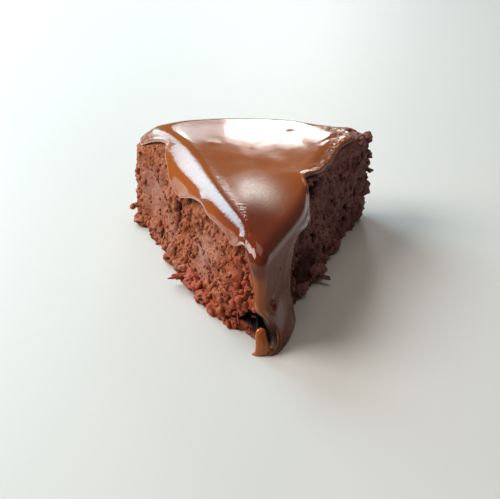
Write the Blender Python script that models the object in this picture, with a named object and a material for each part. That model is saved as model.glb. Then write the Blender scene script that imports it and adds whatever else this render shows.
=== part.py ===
"""A wedge cut from a round beetroot and chocolate cake, with poured glaze over its top.

Two pieces: the sponge, with its craggy cut faces, tears, hollow point and crumbs, and the glaze,
a skin that lies on the top, hangs in drips over the cut edges and runs down the point to the
table, where it stands as a thick foot.

The wedge's point is at the front (-Y) and its round outer side at the back (+Y). A place on its
side wall is (along, height): along is the distance round the outline from the point, positive
over the right cut face and negative over the left one. All lengths are in metres.
"""

import itertools
import math
from dataclasses import dataclass

import bmesh
import bpy
import numpy as np

MM = 0.001

# The wedge
CAKE_RADIUS = 100 * MM
HALF_ANGLE = math.radians(22)
OUTLINE_ROUNDING = 3 * MM
MIDDLE_FROM_POINT = 62 * MM
ORIGIN_FROM_POINT = 56 * MM
HALF_OUTLINE = CAKE_RADIUS * (1 + HALF_ANGLE)

# The top of the sponge
TOP_HEIGHT = 32.9 * MM
POINT_DROOP = 1.6 * MM
POINT_DROOP_REACH = 14 * MM
FRONT_RIGHT_DROOP = 2.2 * MM
REAR_RISE = 0.7 * MM
LEFT_CORNER_RISE = 1.5 * MM
REAR_RIGHT_DIP = 2.4 * MM
DISH_DEPTH = 0.6 * MM
EDGE_RADIUS = 2.5 * MM
LEFT_EDGE_RADIUS = 8.0 * MM

# The side wall of the sponge
LEFT_FLARE = 4.6 * MM
REAR_FLARE = 1.2 * MM
RIGHT_FLARE = 1.5 * MM
LEFT_CORNER_BULGE = 5.5 * MM
RIGHT_CORNER_BULGE = 4.2 * MM
BAY_DEPTH = 3.0 * MM
PROUD_CRUMB = 1.0 * MM
LUMP_SIZE = 6.5 * MM
LUMP_DEPTH = 1.1 * MM
GRAIN_SIZE = 3.2 * MM
GRAIN_DEPTH = 0.9 * MM
CRUMB_LEAST = 0.6
CRUMB_ROUGHNESS = 0.8
POINT_RECESS = 2.4 * MM
POINT_HOLLOW = 7.5 * MM
POINT_HOLLOW_HEIGHT = 7.6 * MM
POINT_HOLLOW_TALL = 3.4 * MM
POINT_HOLLOW_WIDTH = 12 * MM

# The glaze
GLAZE_GAP = 0.5 * MM
GLAZE_THICKNESS = 1.3 * MM
CORNER_FILM = 0.7 * MM
FOOT_HEIGHT = 13.5 * MM
FOOT_BULGE = 4.7 * MM
FOOT_MIDDLE = 7.5 * MM
FOOT_SPREAD = 17 * MM
RIM_RADIUS = 0.5 * MM
SLOT_PLACE = 0.0 * MM
SLOT_HEIGHT = 9.4 * MM
SLOT_ANGLE = math.radians(45)
SLOT_OPENING = 1.7 * MM
SLOT_LENGTH = 6.4 * MM
SLOT_FADE = 12.5 * MM

# Columns round the outline, and rows from the middle of the top outwards and down
COLUMNS = 112
TOP_ROWS = 4
SKIN_START = 8.0 * MM
EDGE_SHARES = (-1.0, -0.33, 0.33, 1.0)
WALL_ROWS = 15
BASE_ROWS = 2
DRAPE_ROWS = 6
RIM_ROWS = 3


@dataclass(frozen=True)
class Drip:
    """A stretch where the glaze hangs lower, or higher if its length is negative."""

    along: float
    length: float
    width: float


@dataclass(frozen=True)
class Tear:
    """A place where the sponge has torn away behind its wall."""

    along: float
    height: float
    width: float
    tall: float
    depth: float


@dataclass(frozen=True)
class Crumb:
    """A lump of sponge that sticks out of the wall: its place and its three half-sizes."""

    along: float
    height: float
    reach: float
    wide: float
    tall: float
    thick: float


DRIPS = (
    Drip(-120 * MM, 2.5 * MM, 7 * MM), Drip(-98 * MM, 1.5 * MM, 6 * MM),
    Drip(-88 * MM, -3.9 * MM, 8 * MM), Drip(-69 * MM, 1.2 * MM, 4 * MM),
    Drip(-61 * MM, 3.9 * MM, 8 * MM), Drip(-42 * MM, -0.6 * MM, 5 * MM),
    Drip(-34 * MM, 0.4 * MM, 4 * MM), Drip(-16.5 * MM, 1.2 * MM, 2.5 * MM),
    Drip(37 * MM, 6.5 * MM, 6 * MM), Drip(42.5 * MM, 5.4 * MM, 2.2 * MM),
    Drip(53.5 * MM, -5.2 * MM, 5 * MM), Drip(64.5 * MM, 1.5 * MM, 4 * MM),
    Drip(82 * MM, -0.8 * MM, 10 * MM), Drip(101 * MM, -3.6 * MM, 5 * MM),
    Drip(111 * MM, 1.8 * MM, 6 * MM), Drip(127 * MM, 3.0 * MM, 7 * MM),
)
LEFT_HEM = 3.2 * MM
RIGHT_HEM = 0.0
REAR_HEM = 2.6 * MM

# The drape over the point: where a line leaves the top edge, and where it ends on the wall
POINT_DRAPE = (
    (-11.5 * MM, -10.6 * MM, 30.0 * MM), (-8.5 * MM, -7.6 * MM, 30.2 * MM),
    (-6.5 * MM, -4.2 * MM, 28.4 * MM), (-5.0 * MM, -1.5 * MM, 25.6 * MM),
    (-3.6 * MM, -0.6 * MM, 20.0 * MM), (-2.4 * MM, -0.7 * MM, 15.5 * MM),
    (-1.2 * MM, -0.5 * MM, 12.4 * MM), (9.0 * MM, -0.2 * MM, 2.6 * MM),
    (12.0 * MM, -0.1 * MM, 0.5 * MM), (14.5 * MM, 2.5 * MM, 0.0),
    (23.5 * MM, 19.0 * MM, 0.0), (25.0 * MM, 19.8 * MM, 4.5 * MM),
    (26.5 * MM, 17.4 * MM, 10.5 * MM), (28.5 * MM, 18.0 * MM, 16.5 * MM),
    (30.5 * MM, 22.0 * MM, 22.0 * MM), (33.0 * MM, 28.0 * MM, 25.8 * MM),
)
DRAPE_MIDDLE = 11 * MM
DRAPE_HALF_WIDTH = 25 * MM
DRAPE_ROUNDING = 0.9 * MM

TEARS = (
    Tear(-60 * MM, 22 * MM, 2.4 * MM, 5.5 * MM, 2.6 * MM),
    Tear(-55 * MM, 14.5 * MM, 2.2 * MM, 4.0 * MM, 2.8 * MM),
    Tear(-50 * MM, 8 * MM, 1.7 * MM, 6.0 * MM, 2.2 * MM),
    Tear(-39 * MM, 24 * MM, 2.2 * MM, 3.4 * MM, 1.8 * MM),
    Tear(-13 * MM, 15 * MM, 2.0 * MM, 4.5 * MM, 1.6 * MM),
    Tear(-8 * MM, 26 * MM, 2.6 * MM, 3.0 * MM, 2.0 * MM),
    Tear(52 * MM, 28 * MM, 8.0 * MM, 4.0 * MM, 2.2 * MM),
    Tear(33 * MM, 12 * MM, 4.0 * MM, 6.0 * MM, 1.8 * MM),
    Tear(78 * MM, 8 * MM, 3.0 * MM, 7.0 * MM, 2.4 * MM),
    Tear(64 * MM, 17 * MM, 2.5 * MM, 5.0 * MM, 1.6 * MM),
)

CRUMBS = (
    Crumb(-102 * MM, 5.5 * MM, 0.4 * MM, 3.6 * MM, 3 * MM, 3.2 * MM),
    Crumb(-93 * MM, 2.2 * MM, 0.2 * MM, 4.4 * MM, 2.6 * MM, 3.6 * MM),
    Crumb(-61 * MM, 2.6 * MM, 0.2 * MM, 4 * MM, 3 * MM, 3.4 * MM),
    Crumb(-54 * MM, 1.8 * MM, 0.0, 3.8 * MM, 2 * MM, 2.8 * MM),
    Crumb(-42 * MM, 2.6 * MM, 0.4 * MM, 4.6 * MM, 2.8 * MM, 3.8 * MM),
    Crumb(-45.5 * MM, 3.2 * MM, 2.6 * MM, 1.1 * MM, 0.9 * MM, 6 * MM),
    Crumb(-33 * MM, 1.8 * MM, 0.0, 4 * MM, 2 * MM, 2.8 * MM),
    Crumb(-24 * MM, 2.2 * MM, 0.0, 3.4 * MM, 2.2 * MM, 2.6 * MM),
    Crumb(48 * MM, 2.8 * MM, 0.2 * MM, 4.2 * MM, 3 * MM, 3.4 * MM),
    Crumb(46.5 * MM, 2.2 * MM, 1.8 * MM, 1.2 * MM, 1 * MM, 4.8 * MM),
    Crumb(36 * MM, 1.9 * MM, 0.0, 3.8 * MM, 2 * MM, 2.8 * MM),
    Crumb(70 * MM, 1.9 * MM, 0.0, 3.6 * MM, 2 * MM, 2.6 * MM),
    Crumb(101 * MM, 21 * MM, 0.3 * MM, 3 * MM, 2.8 * MM, 2.6 * MM),
    Crumb(99 * MM, 12 * MM, 0.0, 3 * MM, 2.6 * MM, 2.4 * MM),
)


def bump(value, middle, width):
    """A smooth hill of height 1 at middle, which falls to nothing over about two widths."""
    return np.exp(-(((value - middle) / width) ** 2))


def ramp(value, low, high):
    """Nothing below low, one above high, and an even S-curve between them."""
    part = np.clip((value - low) / (high - low), 0, 1)
    return part * part * (3 - 2 * part)


def cell_random(cells, salt):
    """A fixed random number from 0 to 1 for each cell of a whole-number grid."""
    mixed = cells[..., 0] * 374761393 + cells[..., 1] * 668265263 + cells[..., 2] * 974711
    mixed = (mixed + salt * 1274126177) & 0xFFFFFFFF
    mixed = ((mixed ^ (mixed >> 13)) * 1103515245) & 0xFFFFFFFF
    return ((mixed ^ (mixed >> 16)) & 0xFFFFFF) / 0x1000000


def soft_noise(points, size, salt):
    """Smooth noise from 0 to 1: random values on a grid of the given size, blended between."""
    scaled = points / size
    cells = np.floor(scaled).astype(np.int64)
    part = scaled - cells
    part = part * part * (3 - 2 * part)
    total = np.zeros(points.shape[:-1])
    for corner in itertools.product((0, 1), repeat=3):
        weight = np.prod(np.where(corner, part, 1 - part), axis=-1)
        total += weight * cell_random(cells + np.array(corner), salt)
    return total


def lump_noise(points, size, salt):
    """Distance, in grid cells, to the nearest of the points scattered one to a cell."""
    scaled = points / size
    cells = np.floor(scaled).astype(np.int64)
    nearest = np.full(points.shape[:-1], 9.0)
    for step in itertools.product((-1, 0, 1), repeat=3):
        cell = cells + np.array(step)
        centre = cell + np.stack([cell_random(cell, salt + axis) for axis in range(3)], axis=-1)
        nearest = np.minimum(nearest, np.linalg.norm(scaled - centre, axis=-1))
    return nearest


def sharp_outline(along):
    """The wedge in plan, point at the origin: two straight sides and an arc of the cake."""
    turned = (along + HALF_OUTLINE) % (2 * HALF_OUTLINE) - HALF_OUTLINE
    distance = np.abs(turned)
    radius = np.minimum(distance, CAKE_RADIUS)
    angle = HALF_ANGLE - np.maximum(distance - CAKE_RADIUS, 0) / CAKE_RADIUS
    return np.stack([np.sign(turned) * radius * np.sin(angle), radius * np.cos(angle)], axis=-1)


def outline(along):
    """The outline with its three corners rounded, by averaging it over a short stretch."""
    steps = np.linspace(-OUTLINE_ROUNDING, OUTLINE_ROUNDING, 13)
    return np.mean([sharp_outline(along + step) for step in steps], axis=0)


def outward(along):
    """The outline's outward direction."""
    step = 0.2 * MM
    tangent = outline(along + step) - outline(along - step)
    tangent /= np.linalg.norm(tangent, axis=-1, keepdims=True)
    return np.stack([tangent[..., 1], -tangent[..., 0]], axis=-1)


def top_height(plan):
    """Height of the sponge's top: a shallow dish that droops at the point and front right."""
    across, back = plan[..., 0], plan[..., 1]
    from_point = np.hypot(across, back)
    height = TOP_HEIGHT - POINT_DROOP * bump(from_point, 0, POINT_DROOP_REACH)
    front = 1 - ramp(back, 26 * MM, 52 * MM)
    height -= FRONT_RIGHT_DROOP * front * ramp(across, -5 * MM, 8 * MM)
    height += REAR_RISE * ramp(back, 50 * MM, 90 * MM)
    height += LEFT_CORNER_RISE * bump(across, -33 * MM, 9 * MM) * bump(back, 80 * MM, 15 * MM)
    height -= REAR_RIGHT_DIP * bump(across, 25 * MM, 8 * MM) * bump(back, 97 * MM, 12 * MM)
    return height - DISH_DEPTH * bump(across, 0, 12 * MM) * bump(back, 66 * MM, 26 * MM)


def edge_radius(along):
    """Radius of the rounded top edge, which grows along the left side towards the back."""
    left = ramp(-along, 8 * MM, 84 * MM) * (1 - ramp(-along, 98 * MM, 116 * MM))
    return EDGE_RADIUS + (LEFT_EDGE_RADIUS - EDGE_RADIUS) * left


def half_edge(along):
    """Distance over the rounded top edge from its middle to where the wall starts."""
    return edge_radius(along) * math.pi / 4


def wall_offset(along, height):
    """How far the wall leans out of the plain outline: flared base, bulged corner, right bay."""
    low = 1 - np.clip(height / TOP_HEIGHT, 0, 1)
    left = ramp(-along, 2 * MM, 18 * MM) * (1 - ramp(-along, 78 * MM, 96 * MM))
    right = ramp(along, 10 * MM, 30 * MM) * (1 - ramp(along, 80 * MM, 98 * MM))
    rear = ramp(np.abs(along), 84 * MM, 100 * MM)
    flare = (LEFT_FLARE * left + RIGHT_FLARE * right + REAR_FLARE * rear) * low ** 1.3
    corners = LEFT_CORNER_BULGE * bump(along, -98 * MM, 13 * MM) * (0.75 + 0.5 * low * (1 - low))
    corners += RIGHT_CORNER_BULGE * bump(along, 100 * MM, 11 * MM) * (1 - 0.45 * low)
    bay = BAY_DEPTH * bump(along, 50 * MM, 10 * MM) * ramp(height, 16 * MM, 29 * MM)
    return flare + corners - bay


def middle_distance(along):
    """How far the lines parallel to the outline lie from the wedge's middle, square to them."""
    side = MIDDLE_FROM_POINT * math.sin(HALF_ANGLE)
    rear = CAKE_RADIUS - MIDDLE_FROM_POINT
    return side + (rear - side) * ramp(np.abs(along), 86 * MM, 108 * MM)


def skin(along, path, lift):
    """A point on the wedge's smooth skin, raised by lift square to it.

    path is the distance over the skin from the middle of the rounded top edge: negative on the
    top and positive down the wall. The plan is pulled towards the wedge's middle so that each
    stretch of the outline moves in by the same inset.
    """
    radius, half = edge_radius(along), half_edge(along)
    turn = np.clip((path + half) / radius, 0, math.pi / 2)
    inset = radius * (1 - np.sin(turn)) + np.maximum(-half - path, 0)
    depth = radius * (1 - np.cos(turn)) + np.maximum(path - half, 0)
    edge, normal = outline(along), outward(along)
    middle = np.array([0, MIDDLE_FROM_POINT])
    shrink = np.maximum(1 - inset / middle_distance(along), 0)
    plan = middle + shrink[..., None] * (edge - middle)
    height = np.maximum(top_height(plan) - depth, 0)
    out = (wall_offset(along, height) + lift) * np.sin(turn)
    plan = plan + normal * out[..., None]
    return np.concatenate([plan, (height + lift * np.cos(turn))[..., None]], axis=-1)


def spread_columns(count):
    """Places round the outline, closest at the point and widest along the round side."""
    fine = np.linspace(-HALF_OUTLINE, HALF_OUTLINE, 2000)
    density = 1 + 1.5 * bump(fine, 8 * MM, 22 * MM) - 0.45 * ramp(np.abs(fine), 108 * MM, 118 * MM)
    density += 0.9 * bump(fine, 105 * MM, 6 * MM) + 0.9 * bump(fine, 43 * MM, 5 * MM)
    share = np.concatenate([[0], np.cumsum((density[1:] + density[:-1]) / 2)])
    return np.interp(np.arange(count) / count, share / share[-1], fine)


def top_paths(along):
    """Paths of the rows across the top, from near the middle out to where the skin starts."""
    farthest = middle_distance(along) - edge_radius(along) + half_edge(along)
    parts = (np.arange(TOP_ROWS) + 1) / TOP_ROWS
    return [-(farthest + (SKIN_START - farthest) * part ** 0.8) for part in parts]


def crumb_relief(points, along, height):
    """How far the crumb lies behind the smooth wall: lumps, grain and named tears."""
    lumps = np.minimum(lump_noise(points, LUMP_SIZE, 3), 1) ** 2
    grain = soft_noise(points, GRAIN_SIZE, 11)
    relief = LUMP_DEPTH * lumps + GRAIN_DEPTH * grain
    for tear in TEARS:
        relief += tear.depth * bump(along, tear.along, tear.width) * bump(
            height, tear.height, tear.tall)
    return relief * ramp(np.abs(along), -2 * MM, 9 * MM)


def point_recess(along, height):
    """How far the worn point of the sponge lies back, most of all in its low hollow."""
    worn = POINT_RECESS * bump(along, -1 * MM, 9 * MM) * (1 - ramp(height, 26 * MM, 31 * MM))
    sideways = along / POINT_HOLLOW_WIDTH
    upright = (height - POINT_HOLLOW_HEIGHT - 0.2 * np.minimum(along, 0)) / POINT_HOLLOW_TALL
    hollow = POINT_HOLLOW * np.exp(-(sideways ** 4) - upright ** 4)
    ledge = 0.4 * POINT_HOLLOW * np.exp(-(sideways ** 4)) * (1 - ramp(height, 2 * MM, 9 * MM))
    return np.maximum(worn, np.maximum(hollow, ledge))


def sponge_wall(along, path):
    """A point on the craggy wall: the smooth skin, cut back by its relief."""
    smooth = skin(along, path, 0 * along)
    height = smooth[..., 2]
    exposed = ramp(path, -1 * MM, 3 * MM)
    below = ramp(path, side_hem(along) + 1.4 * MM, side_hem(along) + 4 * MM)
    beside = ramp(np.abs(along - DRAPE_MIDDLE), DRAPE_HALF_WIDTH, DRAPE_HALF_WIDTH + 8 * MM)
    proud = PROUD_CRUMB * below * beside
    relief = crumb_relief(smooth, along, height) * exposed - proud
    plan = smooth[..., :2] - outward(along) * relief[..., None]
    inward = np.array([0, MIDDLE_FROM_POINT]) - plan
    inward /= np.linalg.norm(inward, axis=-1, keepdims=True)
    plan = plan + inward * (point_recess(along, height) * exposed)[..., None]
    return np.concatenate([plan, height[..., None]], axis=-1)


def wall_drop(along):
    """Length of the skin from the top edge down to the table."""
    return top_height(outline(along)) - edge_radius(along) + half_edge(along)


def sponge_rows(along):
    """All the sponge's rows of points, from the middle of the top to the middle of the base."""
    rows = [skin(along, path, 0 * along) for path in top_paths(along)]
    rows += [sponge_wall(along, share * half_edge(along)) for share in EDGE_SHARES]
    for row in range(1, WALL_ROWS + 1):
        path = half_edge(along) + (wall_drop(along) - half_edge(along)) * row / WALL_ROWS
        rows.append(sponge_wall(along, path))
    foot = rows[-1]
    foot[:, 2] = 0
    middle = np.array([0, MIDDLE_FROM_POINT, 0])
    rows += [middle + (foot - middle) * (1 - row / (BASE_ROWS + 1)) for row in
             range(1, BASE_ROWS + 1)]
    return rows, middle


def side_hem(along):
    """The path down the skin at which the glaze ends, away from the point."""
    rear = ramp(np.abs(along), 94 * MM, 104 * MM)
    side = np.where(along < 0, LEFT_HEM, RIGHT_HEM)
    path = side + (REAR_HEM - side) * rear
    for drip in DRIPS:
        path = path + drip.length * bump(along, drip.along, drip.width)
    return path


def hem(along):
    """Where each line of glaze ends: its place round the wall and its path down the skin."""
    starts, ends, heights = np.array(POINT_DRAPE).T
    drops = wall_drop(ends) - heights
    nearby = along + np.linspace(-DRAPE_ROUNDING, DRAPE_ROUNDING, 7)[:, None]
    borders = np.array([DRAPE_MIDDLE - DRAPE_HALF_WIDTH, DRAPE_MIDDLE + DRAPE_HALF_WIDTH])
    starts = np.concatenate([borders[:1], starts, borders[1:]])
    ends = np.concatenate([borders[:1], ends, borders[1:]])
    drops = np.concatenate([side_hem(borders)[:1], drops, side_hem(borders)[1:]])
    at_point = (nearby > borders[0]) & (nearby < borders[1])
    place = np.where(at_point, np.interp(nearby, starts, ends), nearby)
    path = np.where(at_point, np.interp(nearby, starts, drops), side_hem(nearby))
    return place.mean(axis=0), path.mean(axis=0)


def hem_direction(along, hem_place, hem_path):
    """The way the glaze's rim faces: square to its hem over the point, straight down elsewhere."""
    rise = np.roll(hem_path, -1) - np.roll(hem_path, 1)
    step = (np.roll(hem_place, -1) - np.roll(hem_place, 1)) % (2 * HALF_OUTLINE)
    step = np.where(step > HALF_OUTLINE, step - 2 * HALF_OUTLINE, step)
    length = np.maximum(np.hypot(rise, step), 1e-9)
    over_point = 1 - ramp(np.abs(along - DRAPE_MIDDLE), DRAPE_HALF_WIDTH - 6 * MM,
                          DRAPE_HALF_WIDTH)
    sideways = -rise / length * over_point
    downwards = 1 + (step / length - 1) * over_point
    size = np.hypot(sideways, downwards)
    return sideways / size, downwards / size


def open_slot(along, height):
    """Where a place in the glaze goes as the slanting slot opens from the drape's free edge.

    Each place moves along the slot's axis, most at its mouth and on its line, so the sheet
    draws together past the slot's end without folding.
    """
    across, up = math.cos(SLOT_ANGLE), math.sin(SLOT_ANGLE)
    beside, above = along - SLOT_PLACE, height - SLOT_HEIGHT
    fade = np.clip(1 - (beside * across - above * up) / SLOT_FADE, 0, 1) ** 1.4
    near = bump(beside * up + above * across, 0, SLOT_OPENING) * ramp(beside, -8 * MM, -2 * MM)
    push = SLOT_LENGTH * near * np.minimum(fade, 1)
    return along + push * across, height - push * up


def foot_bulge(along, height):
    """Extra thickness of the glaze's foot: a blob round the point with a crease in its front."""
    tall = 1 - ramp(height, 0.5 * MM, FOOT_HEIGHT)
    width = np.clip(1 - ((along - FOOT_MIDDLE) / FOOT_SPREAD) ** 2, 0, 1)
    return FOOT_BULGE * tall * width


def glaze_thickness(along, path):
    """Thickness of the glaze at a place on the wall."""
    hanging = ramp(path, 3 * MM, 8 * MM)
    film = bump(along, -97 * MM, 10 * MM) + bump(along, 101 * MM, 8 * MM)
    plain = GLAZE_THICKNESS + (CORNER_FILM - GLAZE_THICKNESS) * film * ramp(path, -9 * MM, -2 * MM)
    return plain + foot_bulge(along, wall_drop(along) - path) * hanging


def glaze_point(along, path, outer):
    """A point in the glaze: outer is 0 on its inner side and 1 on its outer side."""
    place, height = open_slot(along, wall_drop(along) - path)
    path = np.where(path < 5 * MM, path, wall_drop(place) - np.maximum(height, 0))
    place = np.where(path < 5 * MM, along, place)
    return skin(place, path, GLAZE_GAP + glaze_thickness(place, path) * outer)


def glaze_rows(along):
    """All the glaze's rows: out over its top to the hem, round the hem and back underneath."""
    hem_place, hem_path = hem(along)
    half = half_edge(along)
    squeeze = np.clip((hem_path + SKIN_START - MM) / (half + SKIN_START), 0.3, 1)
    tops = [(along, path) for path in top_paths(along)]
    edges = [(along, (share * half + SKIN_START) * squeeze - SKIN_START) for share in EDGE_SHARES]
    start = edges[-1][1]
    floor = ramp(hem_path, wall_drop(hem_place) - 1.5 * MM, wall_drop(hem_place) - 0.2 * MM)
    radius = RIM_RADIUS * (1 - floor)
    sideways, downwards = hem_direction(along, hem_place, hem_path)
    rim_place, rim_path = hem_place - sideways * radius, hem_path - downwards * radius
    parts = 1 - (1 - np.arange(1, DRAPE_ROWS + 1) / DRAPE_ROWS) ** 1.3
    drape = [(along + (rim_place - along) * part, start + (rim_path - start) * part)
             for part in parts]
    lines = tops + edges + drape
    rows = [glaze_point(place, path, 1.0) for place, path in lines]
    for row in range(1, RIM_ROWS + 1):
        turn = math.pi * row / (RIM_ROWS + 1)
        past = radius * math.sin(turn)
        rows.append(glaze_point(rim_place + sideways * past, rim_path + downwards * past,
                                (1 + math.cos(turn)) / 2))
    inner = tops + edges + drape[1::2]
    rows += [glaze_point(place, path, 0.0) for place, path in reversed(inner)]
    return rows


def closed_body(name, rows, top, base):
    """A sphere's grid of faces, drawn out over the rows between a top and a base point."""
    columns = len(rows[0])
    shape = bmesh.new()
    bmesh.ops.create_uvsphere(shape, u_segments=columns, v_segments=len(rows) + 1, radius=1)
    places = np.array(rows)
    for vertex in shape.verts:
        across, back, up = vertex.co
        row = round(math.acos(max(-1, min(1, up))) / math.pi * (len(rows) + 1)) - 1
        column = round(math.atan2(back, across) / math.tau * columns) % columns
        if row < 0:
            vertex.co = top
        elif row >= len(rows):
            vertex.co = base
        else:
            vertex.co = places[row, column]
    bmesh.ops.translate(shape, verts=shape.verts, vec=(0, -ORIGIN_FROM_POINT, 0))
    bmesh.ops.triangulate(shape, faces=shape.faces)
    mesh = bpy.data.meshes.new(name)
    shape.to_mesh(mesh)
    shape.free()
    return bpy.data.objects.new(name, mesh)


def crumb_body(number, crumb):
    """One rough lump, seated on the sponge's wall."""
    along = np.array([crumb.along])
    path = wall_drop(along) - crumb.height
    seat = sponge_wall(along, path)[0]
    normal = outward(along)[0]
    shape = bmesh.new()
    bmesh.ops.create_icosphere(shape, subdivisions=2, radius=1)
    for vertex in shape.verts:
        rough = CRUMB_LEAST + CRUMB_ROUGHNESS * soft_noise(
            np.array(vertex.co) + number * 7.0, 0.7, 5)
        wide, thick, tall = np.array(vertex.co) * rough
        plan = seat[:2] + normal * (crumb.reach + thick * crumb.thick)
        plan = plan + np.array([-normal[1], normal[0]]) * wide * crumb.wide
        vertex.co = (plan[0], plan[1] - ORIGIN_FROM_POINT, max(seat[2] + tall * crumb.tall, 0))
    mesh = bpy.data.meshes.new(f"crumb_{number}")
    shape.to_mesh(mesh)
    shape.free()
    return bpy.data.objects.new(f"crumb_{number}", mesh)


def fuse_crumbs(sponge, scene_collection):
    """Join the loose lumps to the sponge with one Boolean union, then remove them."""
    loose = bpy.data.collections.new("loose_crumbs")
    scene_collection.children.link(loose)
    for number, crumb in enumerate(CRUMBS):
        loose.objects.link(crumb_body(number, crumb))
    union = sponge.modifiers.new("fuse_crumbs", "BOOLEAN")
    union.operation = "UNION"
    union.operand_type = "COLLECTION"
    union.collection = loose
    union.solver = "EXACT"
    bpy.context.view_layer.update()
    evaluated = sponge.evaluated_get(bpy.context.evaluated_depsgraph_get())
    fused = bpy.data.meshes.new_from_object(evaluated)
    sponge.modifiers.clear()
    sponge.data = fused
    for lump in list(loose.objects):
        bpy.data.objects.remove(lump)
    bpy.data.collections.remove(loose)


def finish(name, colour, roughness):
    """A plain Principled material."""
    material = bpy.data.materials.new(name)
    material.use_nodes = True
    shader = material.node_tree.nodes["Principled BSDF"]
    shader.inputs["Base Color"].default_value = (*colour, 1)
    shader.inputs["Roughness"].default_value = roughness
    shader.inputs["Metallic"].default_value = 0
    return material


def build_sponge(along):
    """The crumb of the wedge, flat underneath, before its lumps are fused on."""
    rows, base = sponge_rows(along)
    plan = np.array([0, MIDDLE_FROM_POINT])
    top = (*plan, float(top_height(plan)))
    sponge = closed_body("sponge", rows, top, base)
    sponge.data.materials.append(finish("chocolate_beetroot_crumb", (0.30, 0.115, 0.070), 0.9))
    return sponge


def build_glaze(along):
    """The poured skin of glaze, one closed sheet with a rounded hem and a thick foot."""
    plan = np.array([0, MIDDLE_FROM_POINT])
    under = float(top_height(plan)) + GLAZE_GAP
    glaze = closed_body("glaze", glaze_rows(along), (*plan, under + GLAZE_THICKNESS),
                        (*plan, under))
    glaze.data.materials.append(finish("milk_chocolate_glaze", (0.27, 0.085, 0.032), 0.15))
    return glaze


def main():
    """Clear the scene and build both pieces."""
    for item in list(bpy.data.objects):
        bpy.data.objects.remove(item)
    cake = bpy.data.collections.new("beetroot_cake")
    bpy.context.scene.collection.children.link(cake)
    along = spread_columns(COLUMNS)
    sponge = build_sponge(along)
    glaze = build_glaze(along)
    cake.objects.link(sponge)
    cake.objects.link(glaze)
    fuse_crumbs(sponge, bpy.context.scene.collection)


main()
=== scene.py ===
"""A slice of beetroot and chocolate cake under poured glaze, dressed for its picture.

The slice's point is at the front (-Y) and its round outer side at the back (+Y). Places on its
skin are (along, path): along is the distance round the outline from the point, positive over the
right cut face and negative over the left one, and path is the distance over the skin from the
middle of the rounded top edge, negative on the top and positive down the wall. Lengths here are
in millimetres, measured from the point, and become metres from the middle of the underside when
a mesh is put into Blender. The sizes of the main form are those of the solids.
"""

import functools
import itertools
import logging
import math
from collections.abc import Iterator
from dataclasses import dataclass
from enum import Enum

import bpy
import numpy as np
from mathutils import Matrix


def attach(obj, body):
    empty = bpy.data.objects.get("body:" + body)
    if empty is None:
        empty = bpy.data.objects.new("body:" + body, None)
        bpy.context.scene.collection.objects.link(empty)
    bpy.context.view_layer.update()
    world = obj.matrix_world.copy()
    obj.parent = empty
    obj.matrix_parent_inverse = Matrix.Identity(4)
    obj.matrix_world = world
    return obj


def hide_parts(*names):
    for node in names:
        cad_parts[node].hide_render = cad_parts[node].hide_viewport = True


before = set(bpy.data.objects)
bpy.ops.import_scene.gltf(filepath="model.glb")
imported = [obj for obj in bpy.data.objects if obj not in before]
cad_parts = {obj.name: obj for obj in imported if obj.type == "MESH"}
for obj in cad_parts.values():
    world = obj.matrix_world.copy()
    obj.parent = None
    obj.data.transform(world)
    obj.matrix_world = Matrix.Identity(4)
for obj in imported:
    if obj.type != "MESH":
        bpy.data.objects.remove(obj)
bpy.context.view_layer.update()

Array = np.ndarray
Number = float | int
Colour = tuple[float, float, float]
MM = 0.001
ORIGIN_FROM_POINT = 56.0
TABLE_CLEARANCE = 0.02
log = logging.getLogger("beetroot_cake")


# Shapes and noises that the pieces share ---------------------------------------------------


def bump(value: Array, middle: Number, width: Number) -> Array:
    """A smooth hill of height 1, exp(-((value - middle) / width) squared)."""
    return np.exp(-(((value - middle) / width) ** 2))


def ramp(value: Array, low: Number, high: Number) -> Array:
    """An even S-curve from 0 at low to 1 at high, part squared times (3 - 2 part)."""
    part = np.clip((value - low) / (high - low), 0, 1)
    return part * part * (3 - 2 * part)


def plateau(value: Array, start: Number, full: Number, fading: Number, end: Number) -> Array:
    """1 from full to fading, and S-curves down to 0 at start and at end."""
    return ramp(value, start, full) * (1 - ramp(value, fading, end))


def raised(plan: Array, height: Array) -> Array:
    """Points in space from plan points and their heights."""
    return np.concatenate([plan, height[..., None]], axis=-1)


def cell_random(cells: Array, salt: int) -> Array:
    """A fixed random number from 0 to 1 for each cell of a whole-number grid.

    Args:
        cells: whole-number places, three to a cell.
        salt: picks one of many such tables.

    Returns:
        One number for each cell, from its mixed and masked products.
    """
    mixed = cells[..., 0] * 374761393 + cells[..., 1] * 668265263 + cells[..., 2] * 974711
    mixed = (mixed + salt * 1274126177) & 0xFFFFFFFF
    mixed = ((mixed ^ (mixed >> 13)) * 1103515245) & 0xFFFFFFFF
    return ((mixed ^ (mixed >> 16)) & 0xFFFFFF) / 0x1000000


def soft_noise(points: Array, size: Number, salt: int) -> Array:
    """Smooth noise: random values at the corners of a grid, blended between by S-curves.

    Args:
        points: places in space.
        size: the grid's spacing.
        salt: picks the random values.

    Returns:
        A value from 0 to 1 at each place.
    """
    scaled = points / size
    cells = np.floor(scaled).astype(np.int64)
    part = ramp(scaled - cells, 0, 1)
    total = np.zeros(points.shape[:-1])
    for corner in itertools.product((0, 1), repeat=3):
        weight = np.prod(np.where(corner, part, 1 - part), axis=-1)
        total += weight * cell_random(cells + np.array(corner), salt)
    return total


def cloud_noise(points: Array, size: Number, salt: int, layers: int = 3) -> Array:
    """Layers of soft noise, each half the size and half the strength of the one before.

    Args:
        points: places in space.
        size: spacing of the coarsest layer.
        salt: picks the random values.
        layers: how many are added.

    Returns:
        A value from -1 to 1, about 0 on average, at each place.
    """
    shares = [0.5 ** layer for layer in range(layers)]
    total = sum(share * (2 * soft_noise(points, size * share, salt + layer) - 1)
                for layer, share in enumerate(shares))
    return total / sum(shares)


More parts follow.
